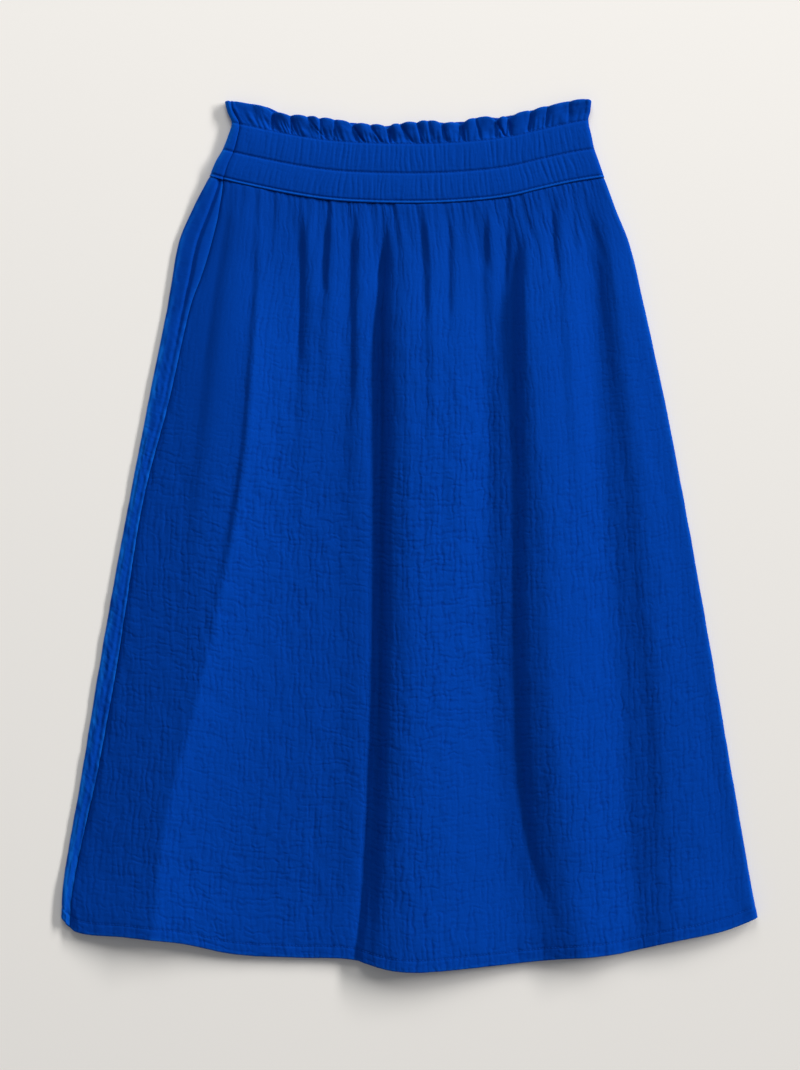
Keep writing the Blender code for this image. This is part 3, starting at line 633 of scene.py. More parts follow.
def gauzeMaterial(name):
    # woven double gauze cotton, piece dyed: dull, soft, slightly fuzzy, with painted shade down in
    # its creases and furrows and a painted highlight on folded edges and seams
    material, tree, shader = newMaterial(name)
    place = node(tree, "ShaderNodeUVMap", (-1500, 0), uv_map="cloth").outputs[0]
    mmPerMetre = 1000.0

    # the short creases and ribs wander, so the place that they are drawn at is bent first
    wander = node(
        tree, "ShaderNodeTexNoise", (-1700, 300), [("Vector", place)], noise_dimensions="2D",
        scale=mmPerMetre / cloth["wanderMm"], detail=2.0, roughness=0.6,
    )
    middle = node(
        tree, "ShaderNodeVectorMath", (-1500, 300),
        [(0, wander.outputs["Color"]), (1, (0.5, 0.5, 0.5))], operation="SUBTRACT",
    )
    bent = node(
        tree, "ShaderNodeVectorMath", (-1350, 300),
        [(0, middle.outputs[0]), (1, cloth["wander"]), (2, place)], operation="MULTIPLY_ADD",
    )

    def furrows(kind, height):
        # narrow furrows in one direction, broken up by long thin patches
        bands = node(
            tree, "ShaderNodeTexWave", (-1100, height), [("Vector", bent.outputs[0])],
            wave_type="BANDS", bands_direction=kind["direction"], wave_profile="SIN",
            scale=waveScale(kind["mm"]), distortion=1.6, detail=1.5, detail_scale=1.6,
            detail_roughness=0.6,
        )
        narrow = node(
            tree, "ShaderNodeMath", (-900, height),
            [(0, bands.outputs["Fac"]), (1, kind["sharp"])], operation="POWER",
        )
        size = [mmPerMetre / mm for mm in kind["patchMm"]]
        long = node(
            tree, "ShaderNodeVectorMath", (-1350, height - 200),
            [(0, place), (1, (*size, 1.0))], operation="MULTIPLY",
        )
        patch = node(
            tree, "ShaderNodeTexNoise", (-1100, height - 200), [("Vector", long.outputs[0])],
            noise_dimensions="2D", scale=1.0, detail=1.5, roughness=0.6,
        )
        shown = node(
            tree, "ShaderNodeMapRange", (-900, height - 200), [("Value", patch.outputs["Fac"])],
            from_min=0.36, from_max=0.62, to_min=0.15 * kind["share"], to_max=kind["share"],
        )
        strength = node(
            tree, "ShaderNodeAttribute", (-1100, height + 150), attribute_name=kind["strength"],
        )
        here = node(
            tree, "ShaderNodeMath", (-700, height - 150),
            [(0, shown.outputs[0]), (1, strength.outputs["Fac"])], operation="MULTIPLY",
        )
        return node(
            tree, "ShaderNodeMath", (-550, height),
            [(0, narrow.outputs[0]), (1, here.outputs[0])], operation="MULTIPLY",
        )

    across, upright = furrows(cloth["creases"], 300), furrows(cloth["ribs"], -100)
    crumple = node(
        tree, "ShaderNodeMath", (-500, 200),
        [(0, across.outputs[0]), (1, upright.outputs[0])], operation="ADD",
    )
    depth = node(
        tree, "ShaderNodeMath", (-300, 0), [(0, crumple.outputs[0]), (1, -1.0)],
        operation="MULTIPLY",
    )

    # the plain weave itself, warp over weft
    warp, weft = (
        node(
            tree, "ShaderNodeTexWave", (-1200, height), [("Vector", place)],
            wave_type="BANDS", bands_direction=direction, wave_profile="SIN",
            scale=waveScale(cloth["threadMm"]), distortion=1.2, detail=1.0, detail_scale=0.4,
        )
        for direction, height in (("X", -800), ("Y", -1050))
    )
    weave = node(
        tree, "ShaderNodeMath", (-950, -900),
        [(0, warp.outputs["Fac"]), (1, weft.outputs["Fac"])], operation="MULTIPLY",
    )
    fuzz = node(
        tree, "ShaderNodeTexNoise", (-1200, -1300), [("Vector", place)], noise_dimensions="2D",
        scale=mmPerMetre / cloth["fuzzMm"], detail=3.0, roughness=0.7,
    )
    threads = node(
        tree, "ShaderNodeMath", (-700, -900),
        [(0, weave.outputs[0]), (1, fuzz.outputs["Fac"])], operation="ADD",
    )
    furrowBump = node(
        tree, "ShaderNodeBump", (0, -300), [("Height", depth.outputs[0])],
        strength=cloth["furrowBump"], distance=cloth["furrowDepth"],
    )
    threadBump = node(
        tree, "ShaderNodeBump", (250, -400),
        [("Height", threads.outputs[0]), ("Normal", furrowBump.outputs[0])],
        strength=cloth["threadBump"], distance=cloth["threadDepth"],
    )

    # the colour: painted shade in the furrows, lighter where fibres stand up, painted highlight on
    # folded edges and seams, darkest painted shade in pressed creases
    shade = node(tree, "ShaderNodeValToRGB", (0, 250), [("Fac", crumple.outputs[0])])
    high, low = shade.color_ramp.elements
    high.position, high.color = 0.15, srgb(cloth["colour"])
    low.position, low.color = 1.0, srgb(cloth["paintedShade"])
    fuzzShare = node(
        tree, "ShaderNodeMapRange", (0, 500), [("Value", fuzz.outputs["Fac"])],
        from_min=0.3, from_max=0.7, to_min=0.0, to_max=0.5,
    )
    tone = shade.outputs[0]
    # the masks of painted highlight and painted shade that the meshes carry
    paintedHighlightNode = node(tree, "ShaderNodeAttribute", (150, 600), attribute_name="paintedHighlightMask")
    paintedShadeNode = node(tree, "ShaderNodeAttribute", (150, 800), attribute_name="depthAndPaintedShade")
    paintedShadeShare = node(
        tree, "ShaderNodeMapRange", (300, 800), [("Value", paintedShadeNode.outputs["Fac"])],
        to_max=cloth["paintedShadeStrength"],
    )
    layers = (
        (fuzzShare.outputs[0], "fibreToneAndPaintedHighlight", (300, 250)),
        (paintedHighlightNode.outputs["Fac"], "paintedHighlight", (450, 350)),
        (paintedShadeShare.outputs[0], "depthAndPaintedShade", (600, 350)),
    )
    for factor, colour, spot in layers:
        links = [("Factor", factor), (6, tone), (7, srgb(cloth[colour]))]
        tone = node(tree, "ShaderNodeMix", spot, links, data_type="RGBA").outputs[2]
    wire(tree, shader, [
        ("Base Color", tone),
        ("Normal", threadBump.outputs[0]),
        ("Roughness", cloth["roughness"]),
        ("Sheen Weight", cloth["sheen"]),
        ("Sheen Tint", srgb(cloth["sheenTint"])),
        ("Sheen Roughness", cloth["sheenRoughness"]),
        ("Specular IOR Level", cloth["specular"]),
    ])
    return material


def threadMaterial(name):
    # spun polyester sewing thread, dyed to match: a little smoother and lighter than the gauze,
    # with the twist of its plies in its bump, and painted shade and highlight along the twist
    material, tree, shader = newMaterial(name)
    place = node(tree, "ShaderNodeTexCoord", (-900, 0)).outputs["Object"]
    twist = node(
        tree, "ShaderNodeTexWave", (-700, 0), [("Vector", place)],
        wave_type="BANDS", bands_direction="DIAGONAL", wave_profile="SIN",
        scale=waveScale(sewing["twistMm"]), distortion=0.8, detail=1.0,
    )
    # painted shade in the grooves of the twist and painted highlight on its plies
    tone = node(tree, "ShaderNodeValToRGB", (-300, 150), [("Fac", twist.outputs["Fac"])])
    tone.color_ramp.elements[0].color = srgb(sewing["paintedShade"])
    tone.color_ramp.elements[1].color = srgb(sewing["fibreToneAndPaintedHighlight"])
    plies = node(
        tree, "ShaderNodeBump", (-300, -200), [("Height", twist.outputs["Fac"])],
        strength=0.5, distance=0.0001,
    )
    wire(tree, shader, [
        ("Base Color", tone.outputs[0]),
        ("Normal", plies.outputs[0]),
        ("Roughness", sewing["roughness"]),
        ("Specular IOR Level", sewing["specular"]),
    ])
    return material


sewing = {
    "pitch": 0.0030,     # from one stitch to the next
    "length": 0.0024,
    "radius": 0.00021,
    "margin": 0.001,     # left free at each end of a row
    "sides": 6,
    # rings of a stitch: place along it, height and thickness, in lengths and radii
    "rings": ((-0.50, -0.8, 0.5), (-0.36, 0.6, 1.0), (0.36, 0.6, 1.0), (0.50, -0.8, 0.5)),
    "twistMm": 0.6,
    # the twist's painted shade between the plies and painted highlight on them
    "paintedShade": "#01348E",
    "fibreToneAndPaintedHighlight": "#0546AC",
    "roughness": 0.70,
    "specular": 0.05,
}

gauzeCloth = gauzeMaterial("crinkledDoubleGauze")
sewingThread = threadMaterial("spunSewingThread")
print("materials made")


# stitches: each builder leaves the lines that its seams follow, and one mesh holds them all

seamLines = []


def sewAlong(points, normals, row, first, last):
    seamLines.append((points[row, first:last], normals[row, first:last]))


def stitchRings(line, normals):
    # the rings of every stitch on one line: its ends dip into the cloth
    length = lengthAlong(line)
    count = int((length[-1] - 2 * sewing["margin"]) / sewing["pitch"])
    middles = sewing["margin"] + sewing["pitch"] * (np.arange(count) + 0.5)
    along, high, thick = np.array(sewing["rings"]).T
    at = middles[:, None] + along * sewing["length"]
    centre = np.stack([np.interp(at, length, line[:, k]) for k in range(3)], axis=-1)
    up = np.stack([np.interp(middles, length, normals[:, k]) for k in range(3)], axis=-1)
    ahead = centre[:, -1] - centre[:, 0]
    ahead = ahead / np.linalg.norm(ahead, axis=1, keepdims=True)
    side = np.cross(ahead, up)
    side = side / np.linalg.norm(side, axis=1, keepdims=True)
    up = np.cross(side, ahead)
    turn = 2 * np.pi * np.arange(sewing["sides"])[None, None, :, None] / sewing["sides"]
    ring = np.cos(turn) * side[:, None, None, :] + np.sin(turn) * up[:, None, None, :]
    high, thick = high * sewing["radius"], thick * sewing["radius"]
    centre = centre + high[None, :, None] * up[:, None, :]
    return centre[:, :, None, :] + thick[None, :, None, None] * ring


def stitchMesh(name, material):
    rings = np.concatenate([stitchRings(line, normals) for line, normals in seamLines], axis=0)
    count, levels, sideCount = rings.shape[:3]
    index = np.arange(count * levels * sideCount).reshape(count, levels, sideCount)
    after = np.roll(index, -1, axis=2)
    walls = np.stack([index[:, :-1], after[:, :-1], after[:, 1:], index[:, 1:]], axis=-1)
    faces = walls.reshape(-1, 4).tolist()
    faces += index[:, 0, ::-1].tolist()
    faces += index[:, -1].tolist()
    mesh = bpy.data.meshes.new(name)
    mesh.from_pydata(rings.reshape(-1, 3).tolist(), [], faces)
    mesh.update()
    mesh.shade_smooth()
    mesh.materials.append(material)
    piece = bpy.data.objects.new(name, mesh)
    bpy.context.scene.collection.objects.link(piece)
    return piece


# panels

panel = {
    "topColumns": 236,
    "underColumns": 4,
    "backColumns": 205,
    "stripColumns": 19,
    "cutWaist": 0.46,    # each panel's flat width, gathered to 0.36 m at the waist
    "cutHem": 0.66,
    "hemRadius": 0.0011,
    "foldedRows": range(-2, -15, -2),  # rows that the turned hem follows back, inside
    "lowest": 0.0016,    # the front never sinks below this
    "seamDip": 0.0013,   # the cloth dips into the side seam over this width
    "seamWidth": 0.0016,
    "tuck": 0.0006,      # and in under the waistband's edge over this length
    "tuckLength": 0.0016,
    "hemStitch": 0.001,  # from the turning's upper edge to its row of stitching
    "hemGroove": (0.00030, 0.0010),
    "hemPucker": 0.00042,
    "hemPuckers": ((1.0, 0.0031), (0.5, 0.0075)),
    "hemReach": (0.0050, 0.0065),      # how far the puckers reach above and below the row
    "paintedWaistShade": (0.40, 0.17),        # painted shade on the gathered cloth, down to here
}
gathering = {
    # each size: how many, how deep, and the share of the way down that they reach
    "sizes": ((64, 0.0009, 0.045), (29, 0.00078, 0.120), (15, 0.00066, 0.220)),
    "spacing": (0.60, 0.33),  # how uneven, and how often it changes from gather to gather
    "sway": (0.25, 0.8),
    "lengths": (0.65, 0.7),
    "depths": (0.60, 0.6),
    "calm": 0.6,
}
strip = {
    # the back's strip that shows beside the left fold
    "crease": 0.60,      # share of its width where a crease runs down it
    "creaseDepth": (0.0009, 0.0014),   # all along, and added near the waist
    "creaseWidth": 0.0017,
    "ridges": (0.16, 0.42),
    "ridgeHeight": 0.0004,
    "ridgeWidth": 0.0016,
    "pucker": (0.00032, 0.0024, 0.0042),
    "creaseShare": 0.7,  # how strong the crinkle is there
    "ribShare": 1.1,
    # painted highlight along the left fold and beside the side seam
    "edgeHighlight": 0.0044,
    "seamHighlight": (0.45, 0.0020),
}


def panelRows():
    # close together where the crinkle is, and closer in the hem
    stitch = 1.0 - hemShare
    edge = 1.0 - panel["hemRadius"] / panelLength
    return np.concatenate([
        [0.0, 0.0009, 0.0020],
        np.linspace(0.0040, 0.20, 62),
        np.linspace(0.20, stitch - 0.004, 288)[1:],
        np.linspace(stitch - 0.004, edge, 17)[1:],
    ])


def pleated(phase):
    # one gather after another: steep up from each valley on its left, slow down to the next
    place = phase - np.floor(phase)
    return (1.0 - place) * (1.0 - np.exp(-8.0 * place)) / 0.68


def gatherTroughs(x, start, end, down, seed):
    # three sizes of gathers, uneven, each fading away at its own length below the seam
    def uneven(name, at, place, s):
        much, often = gathering[name]
        return much * noise(at * often, place, s)

    share = (x - start) / (end - start)
    total = 0.0
    for number, (count, depth, reach) in enumerate(gathering["sizes"]):
        at, s = share * count, seed + 10 * number
        phase = at + uneven("spacing", at, 0.5, s) + uneven("sway", at, down / reach * 1.6, s + 1)
        length = reach * (1.0 + uneven("lengths", at, 0.5, s + 2))
        own = depth * (0.75 + uneven("depths", at, down / reach, s + 3))
        total = total + own * (1.0 - pleated(phase)) * (1.0 - rise(down, 0.08 * length, length))
    return total * (1.0 - gathering["calm"] * calmHip(x, down))


def tuck(down):
    return panel["tuck"] * np.exp(-down * panelLength / panel["tuckLength"])


def fromHemRow(down):
    # how far above the hem's row of stitching
    return (1.0 - down) * panelLength - form["hemDepth"] + panel["hemStitch"]


def hemStitching(u, down, seed):
    # the groove of the hem's stitching and the little puckers that it draws up
    away = fromHemRow(down)
    first, second = panel["hemPuckers"]
    puckers = first[0] * noise(u / first[1], 0.5, seed)
    puckers = np.maximum(puckers + second[0] * noise(u / second[1], 0.5, seed + 1), -0.2)
    above, below = panel["hemReach"]
    depthAndPaintedShade, wide = panel["hemGroove"]
    reach = np.where(away < 0, below, above)
    return depthAndPaintedShade * bell(away, wide) + panel["hemPucker"] * puckers * bell(away, reach)


def sideFold(edge, out, height):
    # the points round a side fold, from the top to underneath; the left fold's run the other way
    angle = np.pi * np.arange(1, form["foldColumns"] + 1)[None, :] / form["foldColumns"]
    if out < 0:
        angle = np.pi - angle
    x = edge - out * form["roll"] + out * form["roll"] * np.sin(angle)
    return x, height / 2 + height / 2 * np.cos(angle)


def frontColumns():
    # shares of the way across from the side seam, with the first few close together
    first = [0.0, 0.0016, 0.0034, 0.0060]
    rest = np.linspace(first[-1], 1.0, panel["topColumns"] - len(first) + 1)[1:]
    return np.concatenate([first, rest])[None, :]


def flatPanel(x, z, down):
    # a panel's points, and their place across and down the flat cloth
    points = np.stack([x, panelY(x, down), z], axis=-1)
    length = lengthAlong(points[-1])
    width = panel["cutWaist"] + (panel["cutHem"] - panel["cutWaist"]) * down
    return points, width * (length[None, :] / length[-1] - 0.5), down * panelLength


def dressPanel(name, points, lift, fields, down, sewn):
    # the crinkle, the turned hem and its stitching
    points = points + normalsOf(points) * lift[..., None]
    points = turnUnder(points, normalsOf(points), panel["hemRadius"], panel["foldedRows"])
    row = int(np.argmin(np.abs(fromHemRow(down[:, 0]))))
    sewAlong(points, normalsOf(points), row, *sewn)
    return clothMesh(name, points, *stretched(panel["foldedRows"], *fields), gauzeCloth)


def frontPanel():
    down = panelRows()[:, None]
    right = sidesOf(sides, down)[1]
    start, end = seamX(down) + form["seamGap"] / 2, right - form["roll"]
    fromSeam = (end - start) * frontColumns()
    x = start + fromSeam
    depth, shade = creasesAt(x, down)
    z = topHeight(x, down) - depth - gatherTroughs(x, start, end, down, 11)
    z = z - panel["seamDip"] * np.exp(-fromSeam / panel["seamWidth"])
    z = np.maximum(z, panel["lowest"])
    foldX, foldZ = sideFold(right, 1.0, z[:, -1:])
    under = np.arange(1, panel["underColumns"] + 1)[None, :] / panel["underColumns"]
    underX = end - (form["rightSeam"] - form["roll"]) * under
    x = np.concatenate([x, foldX, underX], axis=1)
    z = np.concatenate([z, foldZ, form["floorSide"] + 0.0 * underX], axis=1)

    points, u, v = flatPanel(x, z, down)
    crease, rib = shares(x, points[..., 1], down)
    lift = crinkle(u, v, crease, rib, 200) - tuck(down) - hemStitching(u, down, 41)
    lift = np.where(z < 0.0012, -np.abs(lift) * 0.3, lift)
    # painted highlight along the hem's folded edge and beside the right fold, patchy
    paintedHighlightMask = 0.35 * bell((down - 1.0) * panelLength, 0.0016)
    paintedHighlightMask = paintedHighlightMask + 0.20 * np.exp(-np.abs(right - x) / 0.0022)
    paintedHighlightMask = np.clip(paintedHighlightMask * (0.7 + 0.5 * noise(u / 0.006, v / 0.006, 45)), 0.0, 1.0)
    # painted shade along the creases' lines and on the gathered cloth below the waist
    waistShade, reach = panel["paintedWaistShade"]
    hidden = x.shape[1] - shade.shape[1]
    depthAndPaintedShade = np.pad(shade, ((0, 0), (0, hidden))) + waistShade * (1.0 - rise(down, 0.0, reach))
    fields = (u, v, crease, rib, paintedHighlightMask, np.clip(depthAndPaintedShade, 0.0, 1.0))
    return dressPanel("frontPanel", points, lift, fields, down, (2, panel["topColumns"] + 2))


def backPanel():
    down = panelRows()[:, None]
    left, right = sidesOf(sides, down)
    start, end = right - form["rightSeam"] - form["seamGap"], left + form["roll"]
    x = start + (end - start) * np.linspace(0.0, 1.0, panel["backColumns"])[None, :]
    z = 0.0003 + 0.30 * gatherTroughs(x, start, end, down, 31)
    foldX, foldZ = sideFold(left, -1.0, topHeight(end, down))

    # the strip on top: a crease down it, two uneven ridges and small puckers
    stop = seamX(down) - form["seamGap"] / 2
    width = stop - end
    stripX = end + width * np.linspace(0.0, 1.0, panel["stripColumns"])[None, 1:]
    stripZ = topHeight(stripX, down)
    stripZ = stripZ - panel["seamDip"] * np.exp(-(stop - stripX) / panel["seamWidth"])
    line = end + width * (strip["crease"] + 0.12 * noise(down * 13.0, 0.5, 62))
    always, atWaist = strip["creaseDepth"]
    depth = always + atWaist * (1.0 - rise(down, 0.10, 0.24))
    stripZ = stripZ - depth * bell(stripX - line, strip["creaseWidth"])
    grown = rise(down, 0.10, 0.30)
    for number, place in enumerate(strip["ridges"]):
        line = end + width * (place + 0.20 * noise(down * 31.0, number + 0.5, 63))
        tall = strip["ridgeHeight"] * (0.7 + 0.9 * noise(down * 60.0, number + 0.5, 64)) * grown
        stripZ = stripZ + tall * bell(stripX - line, strip["ridgeWidth"])
    stripZ = stripZ + hills(stripX, down * panelLength, strip["pucker"], 65) * (0.3 + 0.7 * grown)
    x = np.concatenate([x, foldX, stripX], axis=1)
    z = np.concatenate([z, foldZ, stripZ], axis=1)

    points, u, v = flatPanel(x, z, down)
    crease, rib = shares(x, points[..., 1], down)
    onTop = z > 0.0020
    crease = np.where(onTop, strip["creaseShare"] * crease, crease)
    rib = np.where(onTop, strip["ribShare"] * rib, rib)
    # painted highlight along the left fold and beside the side seam, ragged, on the strip only
    ragged = 0.62 + 0.38 * noise(down * 130.0, x / 0.0030, 66)
    ragged = ragged + 0.25 * noise(down * 40.0, x / 0.005, 67)
    ragged = ragged * (0.35 + 0.65 * rise(down, 0.10, 0.32))
    share, reach = strip["seamHighlight"]
    paintedHighlightMask = np.exp(-(((x - left) / strip["edgeHighlight"]) ** 4)) + share * bell(np.abs(stop - x), reach)
    paintedHighlightMask = np.clip(paintedHighlightMask * ragged * onTop, 0.0, 1.0)
    lift = crinkle(u, v, crease, rib, 400) - tuck(down) - hemStitching(u, down, 43)
    lift = np.where(z < 0.0015, np.abs(lift) * -0.8, lift)
    sewn = (panel["backColumns"] + form["foldColumns"] - 2, x.shape[1] - 1)
    fields = (u, v, crease, rib, paintedHighlightMask, 0.0 * paintedHighlightMask)
    return dressPanel("backPanel", points, lift, fields, down, sewn)


# waistband

band = {
    "columns": 430,
    "backColumns": 240,
    "stripColumns": 7,
    "ribs": 64,
    "backRibs": 50,
    "crown": 0.0008,
    "ribDepth": 0.00043,
    "edgeStitch": 0.0026,
    "edgeRidge": 0.0005,
    "edgeDip": 0.0011,
    "groove": 0.0007,
    "grooveWidth": 0.0009,
    "seamShade": (0.35, 0.60, 0.60),   # how strong the painted shade along each row of stitching is
    "seamDip": 0.0011,
    "seamWidth": 0.0012,
    "backWaves": {
        "count": 14, "uneven": 0.42, "cut": (0.0004, 0.0020), "depth": 0.0010, "seed": 37,
    },
    "headerRadius": 0.0010,
    "foldedRows": range(-2, -18, -2),
    "cutWidth": 0.44,    # each half's flat width, drawn up by the elastic to 0.36 m
}
elastic = {
    "sides": (0.25, 0.13, 0.93),  # how little it puckers at the sides, and where it's full
    "lean": 0.55,
    "uneven": 0.75,
    "waver": 0.22,
    "depth": (0.55, 0.55),
    "fine": 0.30,
}
header = {
    "waveDepth": 1.1,
    "lean": 0.016,       # how far the waves lean, and their creases
    "creaseLean": 0.040,
    "creaseDepth": 0.55,
    "creaseWidth": 0.0011,
    "width": 0.35,       # about the band's width in metres, where its share is 1
    "gathers": 61,
    "gatherDepth": 0.00055,
    "lumps": 0.0009,
}


def bandRows():
    # close together at the waist seam and over the channels
    aboveStitch = form["headerStitch"] + 0.004
    return np.concatenate([
        [0.0, 0.0003, 0.0008],
        np.arange(0.0014, 0.0046, 0.0006),
        np.arange(0.0050, aboveStitch, 0.00085),
        np.linspace(aboveStitch, form["bandTall"], 17)[1:],
    ])


def seamRows():
    return band["edgeStitch"], form["middleStitch"], form["headerStitch"]


def headerShare(up):
    tall = form["bandTall"] - form["headerStitch"]
    return np.clip((up - form["headerStitch"]) / tall, 0.0, 1.0)


def bandInset(up):
    # how far in from the left fold the side seam lies
    low, high = form["bandSeam"]
    return low + (high - low) * up / form["bandTall"]


def bandY(x, up, cut):
    y = waistLine(x) + form["seamGap"] / 2 + np.minimum(up, form["headerStitch"])
    top = crestLine(x) - cut - band["headerRadius"]
    return y + (top - y) * headerShare(up)


def bandTop(up, share):
    # the header stands up less beside the left fold, where share is 0
    stands = 0.15 + 0.85 * rise(share, 0.0, 0.14)
    return form["bandHeight"] + form["headerRise"] * headerShare(up) * stands


def channels(up):
    # 0 on the stitch lines and 1 in the middle of each elastic channel, and the channel's number
    low, middle, high = seamRows()
    lower = np.clip((up - low) / (middle - low), 0.0, 1.0)
    upper = np.clip((up - middle) / (high - middle), 0.0, 1.0)
    full = np.sin(np.pi * lower) ** 0.55 + np.sin(np.pi * upper) ** 0.55
    return full, np.where(up < middle, 0, 1), np.where(up < middle, lower, upper)


def ribbing(share, up, count, seed):
    # fine upright puckers over the elastic, uneven and a little slanted, unlike in each channel
    full, number, inside = channels(up)
    row = number * 3.0 + 0.5
    least, left, right = elastic["sides"]
    ends = rise(share, 0.00, left) * (1.0 - rise(share, right, 1.0))
    full = full * (least + (1.0 - least) * ends)
    lean = elastic["lean"] * noise(share * 9.0, row, seed) * (inside - 0.5)
    phase = count * share + elastic["uneven"] * noise(share * 23.0, row, seed + 1) + lean
    phase = phase + elastic["waver"] * noise(share * 50.0, up / 0.012, seed + 2)
    usual, more = elastic["depth"]
    depth = usual + more * noise(share * 37.0, number * 3.0 + up / 0.030, seed + 3)
    fine = 0.5 + 0.5 * np.cos(4 * np.pi * phase + 2.0 * noise(share * 30.0, number + 0.5, seed + 4))
    main = (0.5 + 0.5 * np.cos(2 * np.pi * phase)) ** 1.4
    return (main * np.clip(depth, 0.1, 1.2) + elastic["fine"] * fine) * np.minimum(full, 1.0)


def seamShade(up):
    # the painted shade along each row of stitching
    lines = zip(seamRows(), band["seamShade"])
    return sum(paintedShade * bell(up - line, band["grooveWidth"]) for line, paintedShade in lines)


def stitchGrooves(up):
    return band["groove"] * sum(bell(up - line, band["grooveWidth"]) for line in seamRows())


def ruffles(share, up, marks):
    # between two notches the header swells; at a notch it sinks and its free edge draws in
    places = np.concatenate([[0.0], marks[:, 0], [1.0]])
    cuts = np.concatenate([[0.0], marks[:, 1], [0.0]])
    depths = np.concatenate([[0.0], marks[:, 2], [0.0]])
    lean = header["lean"] * noise(share * 11.0, 0.5, 71) * (1.0 - headerShare(up))
    at = np.clip(share + lean, 0.0, 1.0)
    i = np.clip(np.searchsorted(places, at, side="right") - 1, 0, len(places) - 2)
    phase = (at - places[i]) / (places[i + 1] - places[i])
    before, after = (1 - phase) ** 3, phase**3
    return depths[i] * before + depths[i + 1] * after, cuts[i] * before + cuts[i + 1] * after


def headerWrinkles(share, grown, marks):
    # a narrow slanting crease from each notch down to the stitching, and small gathers over it
    total = 0.0
    for number, (place, _, depth) in enumerate(marks):
        lean = header["creaseLean"] * noise(number * 1.7, 0.5, 75)
        away = (share - place - lean * (1.0 - grown) ** 1.3) * header["width"]
        line = bell(away, header["creaseWidth"]) * rise(grown, 0.0, 0.10)
        total = total + header["creaseDepth"] * depth * line
    phase = header["gathers"] * share + 1.1 * noise(share * 23.0, 0.5, 76)
    small = (0.5 + 0.5 * np.cos(2 * np.pi * phase)) ** 1.6
    near = 1.0 - rise(grown, 0.15 + 0.35 * (0.5 + 0.5 * noise(share * 37.0, 0.5, 77)), 0.75)
    total = total + header["gatherDepth"] * small * near * rise(grown, 0.0, 0.06)
    lumps = noise(share * 33.0, grown * 1.6, 78) + 0.5 * noise(share * 71.0, grown * 3.0, 79)
    return total - header["lumps"] * lumps * rise(grown, 0.0, 0.3)


def dressBand(name, x, z, up, cut, paintedHighlightMask, seed, pressed, sewn):
    # the crinkle, the header's turned edge and the stitching, the same on both halves
    cut = np.pad(cut, ((0, 0), (0, x.shape[1] - cut.shape[1])))
    points = np.stack([x, bandY(x, up, cut), z], axis=-1)
    length = lengthAlong(points[0])
    u = length[None, :] / length[-1] * band["cutWidth"] + 0.0 * up
    v = up + 0.0 * u
    grown = headerShare(up)
    crease, rib = 0.35 + 0.25 * grown, 0.50 - 0.10 * grown
    lift = crinkle(u, v, crease, rib, seed)
    low, share = pressed
    lift = np.where(z < low, -np.abs(lift) * share, lift)
    points = points + normalsOf(points, True) * lift[..., None]
    points = turnUnder(points, normalsOf(points, True), band["headerRadius"], band["foldedRows"])
    for line in seamRows():
        row = int(np.argmin(np.abs(up[:, 0] - line)))
        sewAlong(points, normalsOf(points, True), row, *sewn)
    fields = stretched(band["foldedRows"], u, v, crease, rib, paintedHighlightMask, seamShade(up))
    return clothMesh(name, points, *fields, gauzeCloth, True)


def frontBand():
    up = bandRows()[:, None]
    left, right = sidesOf(bandSides, up / form["bandTall"])
    start, end = left + bandInset(up) + form["seamGap"] / 2, right - form["roll"]
    share = np.linspace(0.0, 1.0, band["columns"])[None, :]
    x = start + (end - start) * share
    marks = notches.copy()
    marks[:, 0] = (marks[:, 0] - start[-1, 0]) / (end[-1, 0] - start[-1, 0])
    depth, cut = ruffles(share, up, marks)
    grown = headerShare(up)
    z = bandTop(up, share) - header["waveDepth"] * grown**0.5 * rise(grown, 0.0, 0.12) * depth
    z = z + band["crown"] * np.minimum(channels(up)[0], 1.0)
    z = z - band["ribDepth"] * ribbing(share, up, band["ribs"], 81) - stitchGrooves(up)
    z = z + band["edgeRidge"] * bell(up - 0.0013, 0.0009) - band["edgeDip"] * np.exp(-up / 0.0004)
    z = z - headerWrinkles(share, grown, marks)
    z = z - band["seamDip"] * np.exp(-(x - start) / band["seamWidth"])
    foldX, foldZ = sideFold(right, 1.0, z[:, -1:])
    underX = end - (form["rightSeam"] - form["roll"]) * np.array([[0.3, 0.65, 1.0]])
    x = np.concatenate([x, foldX, underX], axis=1)
    z = np.concatenate([z, foldZ, form["floorSide"] + 0.0 * underX], axis=1)
    # painted highlight on the band's lower edge ridge and on the header's folded top
    paintedHighlightMask = 0.22 * bell(up - 0.0016, 0.0011) + 0.12 * rise(grown, 0.85, 1.0)
    sewn = (1, band["columns"] + 3)
    return dressBand("waistbandFront", x, z, up, cut, paintedHighlightMask, 600, (0.0012, 0.3), sewn)


